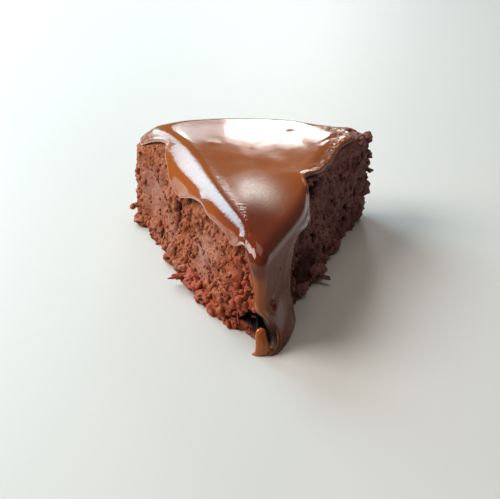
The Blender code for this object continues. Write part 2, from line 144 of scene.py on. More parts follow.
def scattered(points: Array, size: Number, salt: int) -> Iterator[tuple[Array, Array]]:
    """The 27 cells about each place, and how far off the point scattered in each lies.

    Args:
        points: places in space.
        size: the cells' spacing.
        salt: picks the scattered points.

    Yields:
        A cell beside each place, and the distance to its point in cells.
    """
    scaled = points / size
    cells = np.floor(scaled).astype(np.int64)
    for step in itertools.product((-1, 0, 1), repeat=3):
        cell = cells + np.array(step)
        centre = cell + np.stack([cell_random(cell, salt + axis) for axis in range(3)], axis=-1)
        yield cell, np.linalg.norm(scaled - centre, axis=-1)


def lump_noise(points: Array, size: Number, salt: int) -> Array:
    """Distance, in grid cells, to the nearest of the points scattered one to a cell."""
    return functools.reduce(np.minimum, (far for _, far in scattered(points, size, salt)))


def pits(points: Array, size: Number, least: Number, most: Number, chance: Number,
         salt: int) -> Array:
    """Round pits scattered one to a cell: the largest of 1 - (distance / radius) squared.

    Args:
        points: places in space.
        size: the cells' spacing.
        least: the smallest pit's radius.
        most: the largest pit's radius.
        chance: the share of cells that have a pit.
        salt: picks the pits.

    Returns:
        0 between the pits and up to 1 at the middle of one.
    """
    deepest = np.zeros(points.shape[:-1])
    for cell, distance in scattered(points, size, salt):
        radius = (least + (most - least) * cell_random(cell, salt + 3) ** 2) / size
        pit = np.where(cell_random(cell, salt + 4) < chance, 1 - (distance / radius) ** 2, 0)
        deepest = np.maximum(deepest, pit)
    return deepest


def tube_faces(rows: int, columns: int) -> Array:
    """Triangles of a closed tube: two between each four points, and a fan at each pole.

    Args:
        rows: how many rows of points there are.
        columns: how many points go round each row.

    Returns:
        Three point numbers for each, where the poles' two numbers follow those of the rows.
    """
    place = np.arange(rows * columns).reshape(rows, columns)
    beside = np.roll(place, -1, axis=1)
    first, last = (np.full(columns, place.size + pole) for pole in (0, 1))
    corners = ((place[:-1], place[1:], beside[1:]), (place[:-1], beside[1:], beside[:-1]),
               (first, place[0], beside[0]), (last, beside[-1], place[-1]))
    return np.concatenate([np.stack([part.ravel() for part in three], -1) for three in corners])


def repeated(faces: Array, shapes: int, points: int) -> Array:
    """The triangles of many like shapes, whose points are numbered one shape after another."""
    return (faces + points * np.arange(shapes)[:, None, None]).reshape(-1, 3)


def ball_grid(rows: int, columns: int) -> tuple[Array, Array]:
    """A unit ball as rows of points between two poles, and its triangles.

    Args:
        rows: how many rows lie between the poles.
        columns: how many points go round each row.

    Returns:
        The points, rows first and then the two poles, and the triangles.
    """
    lean = math.pi * np.arange(1, rows + 1)[:, None] / (rows + 1)
    turn = math.tau * np.arange(columns)[None, :] / columns
    ball = np.stack([np.sin(lean) * np.cos(turn), np.sin(lean) * np.sin(turn),
                     np.cos(lean) + 0 * turn], axis=-1).reshape(-1, 3)
    return np.concatenate([ball, [(0, 0, 1)], [(0, 0, -1)]]), tube_faces(rows, columns)


def closed_grid(name: str, rows: Array, top: Array, base: Array,
                traits: dict[str, Array]) -> bpy.types.Object:
    """A closed mesh of rows of points with a pole at each end.

    Args:
        name: the piece's name.
        rows: points as [row, column, 3], columns going round anticlockwise seen from above.
        top: the point that closes the first row.
        base: the point that closes the last row.
        traits: numbers for each point of the grid, stored with the mesh under their names.

    Returns:
        The piece, with its place in its mesh.
    """
    points = np.concatenate([rows.reshape(-1, 3), [top], [base]])
    ends = {key: np.concatenate([value.ravel(), [value[0].mean(), value[-1].mean()]])
            for key, value in traits.items()}
    return solid(name, points, tube_faces(*rows.shape[:2]), ends)


def solid(name: str, points: Array, faces: Array, traits: dict[str, Array]) -> bpy.types.Object:
    """Put points and triangles into a new smooth-shaded piece and link it to the scene.

    Args:
        name: the piece's name.
        points: places in millimetres from the slice's point.
        faces: three point numbers for each triangle.
        traits: numbers for each point, stored with the mesh under their names.

    Returns:
        The new object.
    """
    mesh = bpy.data.meshes.new(name)
    mesh.vertices.add(len(points))
    mesh.vertices.foreach_set("co", ((points - (0, ORIGIN_FROM_POINT, 0)) * MM).ravel())
    mesh.loops.add(faces.size)
    mesh.loops.foreach_set("vertex_index", faces.ravel().astype(np.int32))
    mesh.polygons.add(len(faces))
    mesh.polygons.foreach_set("loop_start", np.arange(0, faces.size, 3, dtype=np.int32))
    for key, value in traits.items():
        mesh.attributes.new(key, "FLOAT", "POINT").data.foreach_set(
            "value", value.astype(np.float32))
    mesh.update(calc_edges=True)
    mesh.validate()
    mesh.shade_smooth()
    return placed(name, mesh)


def placed(name: str, data: bpy.types.ID) -> bpy.types.Object:
    """Put a mesh, a light or a camera into the scene.

    Args:
        name: the new object's name.
        data: what it holds.

    Returns:
        The object.
    """
    item = bpy.data.objects.new(name, data)
    bpy.context.scene.collection.objects.link(item)
    return item


# Finishes ----------------------------------------------------------------------------------


class Value:
    """One output of a shader node, which takes part in Python arithmetic."""

    def __init__(self, shader: "Shader", socket: bpy.types.NodeSocket) -> None:
        """Keep the socket and the shader that it belongs to."""
        self.shader, self.socket = shader, socket

    def calculate(self, operation: str, *terms: "Value | Number") -> "Value":
        """The result of one Math node with these inputs, in order."""
        inputs = dict(enumerate(terms))
        return self.shader.node("ShaderNodeMath", "Value", {"operation": operation}, inputs)

    def __add__(self, other: "Value | Number") -> "Value":
        """This and other added."""
        return self.calculate("ADD", self, other)

    def __sub__(self, other: "Value | Number") -> "Value":
        """Other taken from this."""
        return self.calculate("SUBTRACT", self, other)

    def __rsub__(self, other: Number) -> "Value":
        """This taken from other."""
        return self.calculate("SUBTRACT", other, self)

    def __mul__(self, other: "Value | Number") -> "Value":
        """This times other."""
        return self.calculate("MULTIPLY", self, other)

    __radd__, __rmul__ = __add__, __mul__

    def spread(self, low: Number, high: Number) -> "Value":
        """This stretched smoothly so that low becomes 0 and high 1, and held between them."""
        return self.shader.node("ShaderNodeMapRange", "Result",
                                {"interpolation_type": "SMOOTHSTEP"},
                                {"Value": self, "From Min": low, "From Max": high})


class Shader:
    """A material of one Principled shader, and the making of the nodes that feed it."""

    def __init__(self, name: str) -> None:
        """Start a material with its shader.

        Args:
            name: the material's name.
        """
        self.material = bpy.data.materials.new(name)
        self.material.use_nodes = True
        self.tree = self.material.node_tree
        self.surface = self.tree.nodes["Principled BSDF"]

    def node(self, kind: str, output: str | int, settings: dict[str, str],
             inputs: dict[str | int, object]) -> Value:
        """Make a node of any kind.

        Args:
            kind: the node's type.
            output: the name or number of the output wanted.
            settings: the node's own settings, set before its inputs.
            inputs: a number, a vector or a Value for each named or numbered input.

        Returns:
            The output.
        """
        node = self.tree.nodes.new(kind)
        for key, setting in settings.items():
            setattr(node, key, setting)
        for key, given in inputs.items():
            self.feed(node.inputs[key], given)
        return Value(self, node.outputs[output])

    def feed(self, socket: bpy.types.NodeSocket, given: object) -> None:
        """Link a Value to a socket, or set a number, vector or colour on it.

        Args:
            socket: the input.
            given: what it gets.
        """
        if isinstance(given, Value):
            self.tree.links.new(given.socket, socket)
        elif isinstance(given, tuple) and socket.type == "RGBA":
            socket.default_value = (*given, 1)
        else:
            socket.default_value = given

    def set(self, **inputs: object) -> None:
        """Set or link the shader's own inputs, named with _ for each space."""
        for key, given in inputs.items():
            self.feed(self.surface.inputs[key.replace("_", " ")], given)

    def place(self) -> Value:
        """The place on the piece, in metres."""
        return self.node("ShaderNodeTexCoord", "Object", {}, {})

    def stretched(self, scale: Colour) -> Value:
        """The place on the piece, with a pattern squeezed this many times along each axis."""
        return self.node("ShaderNodeMapping", "Vector", {},
                         {"Vector": self.place(), "Scale": scale})

    def trait(self, name: str) -> Value:
        """A number stored with the mesh."""
        return self.node("ShaderNodeAttribute", "Fac", {"attribute_name": name}, {})

    def noise(self, size: Number, detail: Number = 3, place: Value | None = None) -> Value:
        """Noise about 0.5, in clouds of this size in millimetres with so many finer layers."""
        return self.node("ShaderNodeTexNoise", "Fac", {},
                         {"Vector": place or self.place(), "Scale": 1 / (size * MM),
                          "Detail": detail})

    def cells(self, size: Number) -> Value:
        """Distance from the nearest of points scattered at this spacing in millimetres."""
        return self.node("ShaderNodeTexVoronoi", "Distance", {},
                         {"Vector": self.place(), "Scale": 1 / (size * MM)})

    def layered(self, colour: object, *layers: tuple[Value | Number, Colour]) -> object:
        """Lay colours over a first one in turn, each by its own share.

        Args:
            colour: the first colour.
            layers: a share from 0 to 1 and a colour for each.

        Returns:
            The mixed colour.
        """
        for share, tint in layers:
            colour = self.node("ShaderNodeMix", 2, {"data_type": "RGBA"},
                               {0: share, 6: colour, 7: tint})
        return colour

    def relief(self, height: Value, depth: Number, below: Value | None = None) -> Value:
        """A surface normal tilted by a height.

        Args:
            height: the height, from 0 to 1.
            depth: what 1 stands for, in millimetres.
            below: a normal to add it to.

        Returns:
            The tilted normal.
        """
        inputs = {"Height": height, "Distance": depth * MM, "Strength": 1.0}
        if below:
            inputs["Normal"] = below
        return self.node("ShaderNodeBump", "Normal", {}, inputs)


@dataclass(frozen=True)
class CrumbFinish:
    """Moist open cake crumb: red-brown, pinker and smooth where smeared, with painted shade in
    its pores, crags and hollows and over its right face.
    """

    name: str = "beetroot_crumb"
    light: Colour = (0.56, 0.180, 0.076)
    middle: Colour = (0.29, 0.077, 0.031)
    # Dark red for the cells' random tone and for the painted shade in the pores.
    deep: Colour = (0.062, 0.008, 0.0035)
    # The darkest painted shade, where pores, crags and the hollow lie deepest.
    black_shade: Colour = (0.006, 0.002, 0.002)
    warm: Colour = (0.44, 0.125, 0.040)
    smear: Colour = (0.35, 0.165, 0.120)
    red: Colour = (0.38, 0.062, 0.020)
    # Painted shade for the right cut face, which faces away from the lamps.
    right_face_shade: Colour = (0.165, 0.074, 0.084)
    roughness: float = 0.56

    def material(self) -> bpy.types.Material:
        """Tones by cloud and by crumb, with painted shade from the stored shade of pores and
        crags and over the right face.

        Returns:
            The material.
        """
        shader = Shader(self.name)
        pore_shade, smear, red = (shader.trait(key) for key in ("pore_shade", "smear", "red"))
        colour = shader.layered(
            self.middle,
            (shader.noise(1.4, 4).spread(0.32, 0.68), self.light),
            (shader.cells(0.9).spread(0.15, 0.75) * 0.45, self.deep),
            (shader.noise(3.0).spread(0.46, 0.62) * 0.5, self.warm),
            (shader.noise(3.0).spread(0.2, 0.55) * red, self.red),
            # Painted shade: the right cut face darker and purpler.
            (shader.trait("right_face_shade") * 0.72, self.right_face_shade),
            (smear * shader.noise(2.2).spread(0.25, 0.55) * 0.95, self.smear),
            # Painted shade from the stored shade of pores, crags and cracks, darkest where it is
            # deepest.
            (pore_shade.spread(0.08, 0.85), self.deep),
            (pore_shade.spread(1.0, 1.5), self.black_shade))
        rough = shader.noise(0.8).spread(0.3, 0.7) * 0.25 + self.roughness
        fine = shader.relief(shader.noise(0.35, 4), 0.13)
        shader.set(Base_Color=colour, Roughness=rough - smear * 0.18 - red * 0.12,
                   Normal=shader.relief(shader.cells(0.55), 0.10, fine), Subsurface_Weight=0.12,
                   Subsurface_Scale=0.0008, Subsurface_Radius=(1.0, 0.35, 0.2),
                   Specular_IOR_Level=0.3)
        return shader.material


@dataclass(frozen=True)
class GlazeFinish:
    """Set milk chocolate glaze: glossy brown, redder and deeper towards the point, mottled where
    filmy, orange where thinly spread, with painted light, shade and sheen.
    """

    name: str = "chocolate_glaze"
    colour: Colour = (0.27, 0.066, 0.010)
    pale: Colour = (0.31, 0.086, 0.016)
    deep: Colour = (0.135, 0.015, 0.004)
    # Lighter orange for thinly spread see-through glaze, and painted light on the left side's
    # glaze.
    thin_and_lit: Colour = (0.42, 0.098, 0.012)
    film: Colour = (0.20, 0.072, 0.045)
    # A pale tint painted where a soft reflection would show.
    painted_sheen: Colour = (0.74, 0.60, 0.53)
    # Painted shade for the sheet's inner side and the slot at the foot.
    inside_shade: Colour = (0.014, 0.004, 0.003)
    roughness: float = 0.08

    def material(self) -> bpy.types.Material:
        """Cloudy browns under a clear gloss, with mottling and streaks, painted shade inside,
        painted light on the left side and a painted sheen.

        Returns:
            The material.
        """
        shader = Shader(self.name)
        film, inner, painted_sheen_mask = (shader.trait(key) for key in ("film", "inner", "painted_sheen_mask"))
        mottle = shader.noise(1.6, 4).spread(0.4, 0.6)
        speckle = shader.noise(0.7, 4).spread(0.25, 0.7) * 0.4 + 0.55
        colour = shader.layered(
            self.colour,
            (shader.noise(14).spread(0.35, 0.68), self.pale),
            (shader.trait("deep"), self.deep),
            # Lighter orange where the glaze is thinly spread, and painted light on the left side.
            (shader.trait("thin_and_lit"), self.thin_and_lit),
            (film * mottle, self.film),
            # Painted shade: the sheet's inner side and the slot at the foot painted darkest.
            (inner, self.inside_shade),
            # Painted reflection: a pale speckled patch on the top, and a painted highlight along
            # the left hem's rim.
            (painted_sheen_mask * speckle, self.painted_sheen))
        rough = shader.noise(5, 4).spread(0.35, 0.7) * 0.05 + self.roughness + film * 0.08
        wisps = shader.noise(0.9, 3, shader.stretched((0.22, 1, 1))) * shader.trait("brushed")
        skin = shader.relief(shader.noise(3.0, 2), 0.012)
        for height, depth in ((wisps, 0.14),
                              (shader.noise(0.5, 2) * (painted_sheen_mask * 0.9 + 0.1), 0.015),
                              (mottle * film, 0.25)):
            skin = shader.relief(height, depth, skin)
        shader.set(Base_Color=colour, Roughness=rough + inner * 0.7 + painted_sheen_mask * 0.24, Normal=skin,
                   Subsurface_Weight=0.10, Subsurface_Scale=0.0012,
                   Subsurface_Radius=(1.0, 0.4, 0.18), Coat_Weight=(1 - inner) * 0.2,
                   Coat_Roughness=0.04, Specular_IOR_Level=0.4)
        return shader.material


@dataclass(frozen=True)
class ShredFinish:
    """Cooked beetroot: wet, deep red and slightly see-through."""

    name: str = "grated_beetroot"
    light: Colour = (0.30, 0.048, 0.028)
    deep: Colour = (0.12, 0.012, 0.008)

    def material(self) -> bpy.types.Material:
        """Two reds in clouds, with a wet unevenness.

        Returns:
            The material.
        """
        shader = Shader(self.name)
        clouds = shader.noise(1.0).spread(0.35, 0.65)
        shader.set(Base_Color=shader.layered(self.deep, (clouds, self.light)),
                   Roughness=shader.noise(0.6, 2) * 0.3 + 0.25,
                   Normal=shader.relief(shader.noise(0.4), 0.08), Subsurface_Weight=0.15,
                   Subsurface_Scale=0.001, Subsurface_Radius=(1.0, 0.15, 0.1))
        return shader.material


@dataclass(frozen=True)
class FloorFinish:
    """A plain pale table top with a soft sheen."""

    name: str = "pale_floor"
    colour: Colour = (0.64, 0.64, 0.625)

    def material(self) -> bpy.types.Material:
        """One pale colour with the faintest clouding in its sheen.

        Returns:
            The material.
        """
        shader = Shader(self.name)
        shader.set(Base_Color=self.colour, Roughness=shader.noise(60, 2) * 0.1 + 0.45,
                   Specular_IOR_Level=0.3)
        return shader.material


# The slice ---------------------------------------------------------------------------------


@dataclass(frozen=True)
class Wedge:
    """The smooth form that the sponge and the glaze share: outline, top, rounded edge, wall."""

    cake_radius: float = 100.0
    half_angle: float = math.radians(22)
    outline_rounding: float = 3.0
    middle_from_point: float = 62.0
    top: float = 32.9
    point_droop: float = 1.6
    point_droop_reach: float = 14.0
    front_right_droop: float = 2.2
    rear_rise: float = 0.7
    left_corner_rise: float = 1.5
    rear_right_dip: float = 2.4
    dish: float = 0.6
    edge: float = 2.5
    left_edge: float = 8.0
    left_flare: float = 4.6
    rear_flare: float = 1.2
    right_flare: float = 1.5
    left_corner_bulge: float = 5.5
    right_corner_bulge: float = 4.2
    bay: float = 3.0

    @property
    def half_outline(self) -> float:
        """Distance round the outline from the point to the middle of the round side."""
        return self.cake_radius * (1 + self.half_angle)

    def sharp_outline(self, along: Array) -> Array:
        """The wedge in plan: two straight sides from the point and an arc of the cake.

        Args:
            along: places round the outline.

        Returns:
            Plan points, radius times the sine and cosine of the angle from the middle line.
        """
        turned = (along + self.half_outline) % (2 * self.half_outline) - self.half_outline
        distance = np.abs(turned)
        radius = np.minimum(distance, self.cake_radius)
        angle = self.half_angle - np.maximum(distance - self.cake_radius, 0) / self.cake_radius
        return np.stack([np.sign(turned) * radius * np.sin(angle), radius * np.cos(angle)], -1)

    def outline(self, along: Array) -> Array:
        """The outline with its corners rounded: its mean over a short stretch each way."""
        steps = np.linspace(-self.outline_rounding, self.outline_rounding, 13)
        return sum(self.sharp_outline(along + step) for step in steps) / len(steps)

    def outward(self, along: Array) -> Array:
        """The outline's outward direction: its tangent turned a quarter.

        Args:
            along: places round the outline.

        Returns:
            A unit plan direction at each.
        """
        tangent = self.outline(along + 0.2) - self.outline(along - 0.2)
        tangent /= np.linalg.norm(tangent, axis=-1, keepdims=True)
        return np.stack([tangent[..., 1], -tangent[..., 0]], axis=-1)

    def hollows(self, across: Array, back: Array) -> tuple[Array, Array]:
        """The shallow dish in the top's middle, and the dip across its right rear corner."""
        dish = self.dish * bump(across, 0, 12) * bump(back, 66, 26)
        return dish, self.rear_right_dip * bump(across, 25, 8)

    def top_height(self, plan: Array) -> Array:
        """Height of the top: a level plane with hills and hollows added.

        Args:
            plan: plan points.

        Returns:
            The height over each.
        """
        across, back = plan[..., 0], plan[..., 1]
        height = self.top - self.point_droop * bump(
            np.hypot(across, back), 0, self.point_droop_reach)
        front = 1 - ramp(back, 26, 52)
        height -= self.front_right_droop * front * ramp(across, -5, 8)
        height += self.rear_rise * ramp(back, 50, 90)
        height += self.left_corner_rise * bump(across, -33, 9) * bump(back, 80, 15)
        dish, dip = self.hollows(across, back)
        return height - dip * bump(back, 97, 12) - dish

    def edge_radius(self, along: Array) -> Array:
        """Radius of the rounded top edge, which grows along the left side towards the back."""
        left = plateau(-along, 8, 84, 98, 116)
        return self.edge + (self.left_edge - self.edge) * left

    def half_edge(self, along: Array) -> Array:
        """Distance over the rounded edge from its middle to where the wall starts."""
        return self.edge_radius(along) * math.pi / 4

    def wall_offset(self, along: Array, height: Array) -> Array:
        """How far the wall leans out of the outline: flared base, bulged corners, right bay.

        Args:
            along: places round the outline.
            height: heights on the wall.

        Returns:
            The lean, square to the outline.
        """
        low = 1 - np.clip(height / self.top, 0, 1)
        left = plateau(-along, 2, 18, 78, 96)
        right = plateau(along, 10, 30, 80, 98)
        rear = ramp(np.abs(along), 84, 100)
        flare = self.left_flare * left + self.right_flare * right + self.rear_flare * rear
        corners = self.left_corner_bulge * bump(along, -98, 13) * (0.75 + 0.5 * low * (1 - low))
        corners += self.right_corner_bulge * bump(along, 100, 11) * (1 - 0.45 * low)
        return flare * low ** 1.3 + corners - self.bay * bump(along, 50, 10) * ramp(
            height, 16, 29)

    def middle_distance(self, along: Array) -> Array:
        """How far the lines parallel to the outline lie from the wedge's middle.

        Args:
            along: places round the outline.

        Returns:
            The distances.
        """
        side = self.middle_from_point * math.sin(self.half_angle)
        rear = self.cake_radius - self.middle_from_point
        return side + (rear - side) * ramp(np.abs(along), 86, 108)

    def skin(self, along: Array, path: Array, lift: Array | Number) -> Array:
        """A point on the smooth skin, raised square to it.

        The plan shrinks towards the wedge's middle so that each stretch of the outline moves in
        by the same inset, and the height drops by the rounded edge's and then the wall's depth.

        Args:
            along: places round the outline.
            path: distances over the skin from the middle of the rounded edge.
            lift: how far to raise each point.

        Returns:
            Points in space.
        """
        radius, half = self.edge_radius(along), self.half_edge(along)
        turn = np.clip((path + half) / radius, 0, math.pi / 2)
        inset = radius * (1 - np.sin(turn)) + np.maximum(-half - path, 0)
        depth = radius * (1 - np.cos(turn)) + np.maximum(path - half, 0)
        middle = np.array([0, self.middle_from_point])
        shrink = np.maximum(1 - inset / self.middle_distance(along), 0)
        plan = middle + shrink[..., None] * (self.outline(along) - middle)
        height = np.maximum(self.top_height(plan) - depth, 0)
        out = (self.wall_offset(along, height) + lift) * np.sin(turn)
        plan = plan + self.outward(along) * out[..., None]
        return raised(plan, height + lift * np.cos(turn))

    def wall_drop(self, along: Array) -> Array:
        """Length of the skin from the top edge down to the table."""
        return self.top_height(self.outline(along)) - self.edge_radius(along) + self.half_edge(
            along)

    def top_paths(self, along: Array, count: int, start: Number) -> list[Array]:
        """Paths of the rows across the top, from near the middle out to the edge's start.

        Args:
            along: the columns' places.
            count: how many rows.
            start: how far inside the edge the last one lies.

        Returns:
            One array of paths for each row.
        """
        farthest = self.middle_distance(along) - self.edge_radius(along) + self.half_edge(along)
        parts = (np.arange(count) + 1) / count
        return [-(farthest + (start - farthest) * part ** 0.8) for part in parts]

    def columns(self, count: int, hills: tuple[tuple[float, float, float], ...]) -> Array:
        """Places round the outline, closer together where there are hills of density.

        Args:
            count: how many places.
            hills: strength, middle and width of each hill.

        Returns:
            The places, at equal shares of the summed density.
        """
        fine = np.linspace(-self.half_outline, self.half_outline, 4001)
        density = np.ones(fine.shape) - 0.35 * ramp(np.abs(fine), 106, 118)
        for strength, middle, width in hills:
            density += strength * bump(fine, middle, width)
        share = np.concatenate([[0], np.cumsum((density[1:] + density[:-1]) / 2)])
        return np.interp(np.arange(count) / count, share / share[-1], fine)


@dataclass(frozen=True)
class Spot:
    """A tear, crag or other patch of the wall: its place, half-sizes, amount and lean."""

    along: float
    height: float
    width: float
    tall: float
    amount: float
    lean: float = 0.0

    def hill(self, along: Array, height: Array) -> Array:
        """A smooth hill over the spot, 1 at its middle."""
        return bump(along, self.along, self.width) * bump(height, self.height, self.tall)


@dataclass(frozen=True)
class Lump:
    """A lump of sponge that sticks out of the wall: its place and its three half-sizes."""

    along: float
    height: float
    reach: float
    wide: float
    tall: float
    thick: float


@dataclass(frozen=True)
class Sponge:
    """The crumb: cut faces with tears, crags, pores and grains, and lumps round its base.

    Each kind of rounded crumb has its depth, its size and the number that picks its noise. The
    smears are where the knife pressed the face smooth, the crags are deep and painted dark as
    shade, and the stain is where beetroot has reddened it.
    """

    form: Wedge
    drips: "Drips"
    columns: int = 810
    wall_rows: int = 108
    hidden_rows: int = 6
    base_rows: int = 3
    lump_size: float = 6.5
    lump_depth: float = 1.1
    grain_size: float = 3.2
    grain_depth: float = 1.2
    crumbs: tuple[tuple[float, float, int], ...] = ((0.34, 2.3, 21), (0.26, 1.0, 25))
    proud: float = 1.0
    point_recess: float = 2.4
    hollow: float = 9.0
    hollow_height: float = 7.0
    hollow_tall: float = 4.0
    hollow_width: float = 12.5
    tears: tuple[Spot, ...] = (
        Spot(-60, 22, 2.4, 5.5, 2.6), Spot(-55, 14.5, 2.2, 4.0, 2.8), Spot(-50, 8, 1.7, 6, 2.2),
        Spot(-39, 24, 2.2, 3.4, 1.8), Spot(-13, 15, 2.0, 4.5, 1.6), Spot(-8, 26, 2.6, 3.0, 2.0),
        Spot(52, 28, 8.0, 4.0, 2.2), Spot(33, 12, 4.0, 6.0, 1.8), Spot(78, 8, 3.0, 7.0, 2.4),
        Spot(64, 17, 2.5, 5.0, 1.6))
    lumps: tuple[Lump, ...] = (
        Lump(-101.5, 7.0, 0.7, 2.2, 1.0, 3.0), Lump(-93, 1.6, 0, 3.4, 1.6, 2.8),
        Lump(-61, 2.6, 0.2, 4, 3, 3.4), Lump(-54, 1.8, 0, 3.8, 2, 2.8),
        Lump(-42, 2.6, 0.4, 4.6, 2.8, 3.8), Lump(-45.5, 3.2, 2.6, 1.1, 0.9, 6),
        Lump(-33, 1.8, 0, 4, 2, 2.8), Lump(-24, 2.2, 0, 3.4, 2.2, 2.6),
        Lump(48, 2.8, 0.2, 4.2, 3, 3.4), Lump(46.5, 2.2, 1.8, 1.2, 1, 4.8),
        Lump(36, 1.9, 0, 3.8, 2, 2.8), Lump(70, 1.9, 0, 3.6, 2, 2.6),
        Lump(101, 21, 0.3, 3, 2.8, 2.6), Lump(99, 12, 0, 3, 2.6, 2.4),
        Lump(99, 31.2, -0.6, 3.2, 1.9, 2.4), Lump(104, 30.4, -0.2, 2.6, 2.0, 2.2),
        Lump(94.5, 31.4, -0.6, 2.4, 1.4, 1.8), Lump(98.5, 24.8, 1.2, 1.2, 1.1, 1.3),
        Lump(97, 20.2, 1.4, 0.8, 0.8, 1.6), Lump(92, 18.6, 0.6, 0.9, 0.8, 1.3),
        Lump(91.8, 14.2, 0.5, 1.0, 0.7, 1.2), Lump(-104.5, 9.4, 2.0, 1.3, 0.8, 2.4),
        Lump(-97, 5.6, 1.4, 1.3, 0.9, 1.6), Lump(-36.5, 4.2, 1.4, 2.2, 1.4, 2.0),
        Lump(-28, 3.6, 1.0, 2.0, 1.2, 1.8), Lump(-50, 3.6, 0.8, 1.8, 1.2, 1.6))
    smears: tuple[Spot, ...] = (
        Spot(-84, 16, 11, 9, 1.0), Spot(-38, 13, 7, 8, 0.9), Spot(-66, 8, 5, 6, 0.7),
        Spot(-30, 20, 6, 5, 0.4), Spot(60, 10, 9, 8, 0.5))
    crags: tuple[Spot, ...] = (
        Spot(-64.4, 16.5, 2.2, 7.4, 5.0, 0.4), Spot(-41, 25.6, 1.3, 1.8, 2.4, 0.4),
        Spot(-51, 5.5, 1.0, 4.0, 2.6), Spot(-12.5, 26.8, 2.2, 2.4, 3.0),
        Spot(-7.6, 16.4, 2.2, 3.6, 4.2, 0.3), Spot(-27, 14, 1.2, 2.2, 2.0, 0.5),
        Spot(-83, 21, 0.9, 1.8, 1.6), Spot(-74, 5, 1.1, 2.4, 2.0), Spot(-17, 8, 1.4, 1.8, 2.2),
        Spot(56, 28.6, 5.5, 3.4, 4.4, -0.6), Spot(70, 16, 1.3, 5.0, 2.8, 0.3),
        Spot(48, 14, 1.6, 4.0, 2.6), Spot(34, 8, 3.0, 4.0, 3.0), Spot(84, 9, 1.2, 5, 2.4, 0.2),
        Spot(79, 24, 1.1, 2.2, 2.0), Spot(95, 27, 1.2, 2.0, 1.8), Spot(60, 5, 2.0, 2.2, 2.2))
    stain: Spot = Spot(-40, 0, 11, 4, 0.8)
    crag_ragged: float = 0.5
    crag_shade: float = 1.9
    # Where painted shade darkens the right face's low front, near the foot, and how wide it
    # reaches.
    low_right_shade_along: float = 40.0
    low_right_shade_width: float = 15.0
    rough_side_depth: float = 1.7
    rough_side_size: float = 3.6
    clod_size: float = 3.0
    clod_depth: float = 1.8
    small_pore_depth: float = 0.35
    recess_from: float = 3.0
    recess_full: float = 4.6
    lump_rows: int = 30
    lump_columns: int = 44
    grains: int = 2600
    grain_seed: int = 41
    grain_least: float = 0.28
    grain_spread: float = 0.75
    grain_rows: int = 3
    grain_columns: int = 7

    def smeared(self, points: Array, along: Array, height: Array) -> Array:
        """How smooth the knife left the crumb, 0 to 1: the smears' hills broken up by noise."""
        total = sum(smear.amount * smear.hill(along, height) for smear in self.smears)
        return np.clip(total * (0.7 + 1.1 * soft_noise(points, 4.5, 61)) - 0.12, 0, 1)

    def crag_cuts(self, points: Array, along: Array, height: Array) -> tuple[Array, Array]:
        """The crags, as ragged leaning ovals: full within half their size, nothing at their rim.

        Args:
            points: places on the smooth wall.
            along: their places round the outline.
            height: their heights.

        Returns:
            How deep they make each place, and how much painted shade they give it.
        """
        depth, dark = np.zeros(along.shape), np.zeros(along.shape)
        ragged = self.crag_ragged * cloud_noise(points, 1.8, 131)
        for crag in self.crags:
            above = height - crag.height
            reach = np.hypot((along - crag.along + crag.lean * above) / crag.width,
                             above / crag.tall)
            inside = 1 - ramp(reach + ragged, 0.5, 1.0)
            depth += crag.amount * inside
            # Painted shade within each crag.
            dark = np.maximum(dark, self.crag_shade * inside)
        return depth, dark

    def relief(self, points: Array, along: Array, height: Array) -> tuple[Array, Array, Array]:
        """How far the crumb lies behind the smooth wall, with how open and how pressed it is.

        Lumps and grain as in the solids, the tears, rounded crumbs and pores of two sizes and
        fine cloud noise, all weaker where the crumb is pressed, and the clods and the crags.

        Args:
            points: places on the smooth wall.
            along: their places round the outline.
            height: their heights.

        Returns:
            The depth, the openness, from 0 to 1 or more in a crag, which sets painted shade, and
            the pressing, 0 to 1.
        """
        coarse = self.lump_depth * np.minimum(lump_noise(points, self.lump_size, 3), 1) ** 2
        coarse += self.grain_depth * soft_noise(points, self.grain_size, 11)
        rough_side = ramp(along, 24, 44)
        coarse += self.rough_side_depth * rough_side * np.maximum(
            cloud_noise(points, self.rough_side_size, 201), -0.35)
        torn = np.zeros(along.shape)
        for tear in self.tears:
            part = tear.hill(along, height)
            coarse += tear.amount * part
            torn = np.maximum(torn, part)
        pressed = self.smeared(points, along, height) * (1 - torn)
        warped = points + 0.8 * np.stack(
            [cloud_noise(points, 2.6, salt) for salt in (71, 72, 73)], axis=-1)
        open_crumb = 1 - 0.8 * pressed
        crumbs = sum(deep * np.minimum(lump_noise(warped, size, salt), 1) ** 2
                     for deep, size, salt in self.crumbs)
        gathered = 0.25 + 0.75 * ramp(soft_noise(points, 6.5, 181), -0.3, 0.4)
        large = pits(warped, 2.8, 0.35, 1.5, 0.26, 31) * gathered
        small = pits(warped, 1.2, 0.2, 0.5, 0.3, 35) * gathered
        fine = (0.30 - 0.14 * pressed) * cloud_noise(points, 1.1, 45)
        fine += 0.5 * open_crumb * cloud_noise(points * (1, 1, 0.45), 2.8, 191)
        pore_depth = large ** 0.8 * (0.4 + 0.6 * open_crumb)
        pore_depth += self.small_pore_depth * small * (0.3 + 0.7 * open_crumb)
        broken = bump(along, -11, 8) * (1 - ramp(height, 24, 30))
        broken = np.maximum(broken, 0.6 * bump(along, -46, 10) * bump(height, 21, 6))
        clod = lump_noise(warped, self.clod_size, 151)
        pore_depth += self.clod_depth * broken * np.minimum(clod, 1) ** 2
        pore_depth *= 1 + 0.6 * rough_side
        depth = (crumbs - 0.28) * open_crumb + fine + pore_depth - 0.15
        # The openness is painted shade: darker in pits, tears, broken clods and crags.
        openness = np.clip(0.9 * large + 0.4 * small + 0.3 * torn
                           + 1.2 * broken * ramp(clod, 0.5, 0.8), 0, 1.2)
        cut, dark = self.crag_cuts(points, along, height)
        depth, openness = depth + cut, np.maximum(openness, dark)
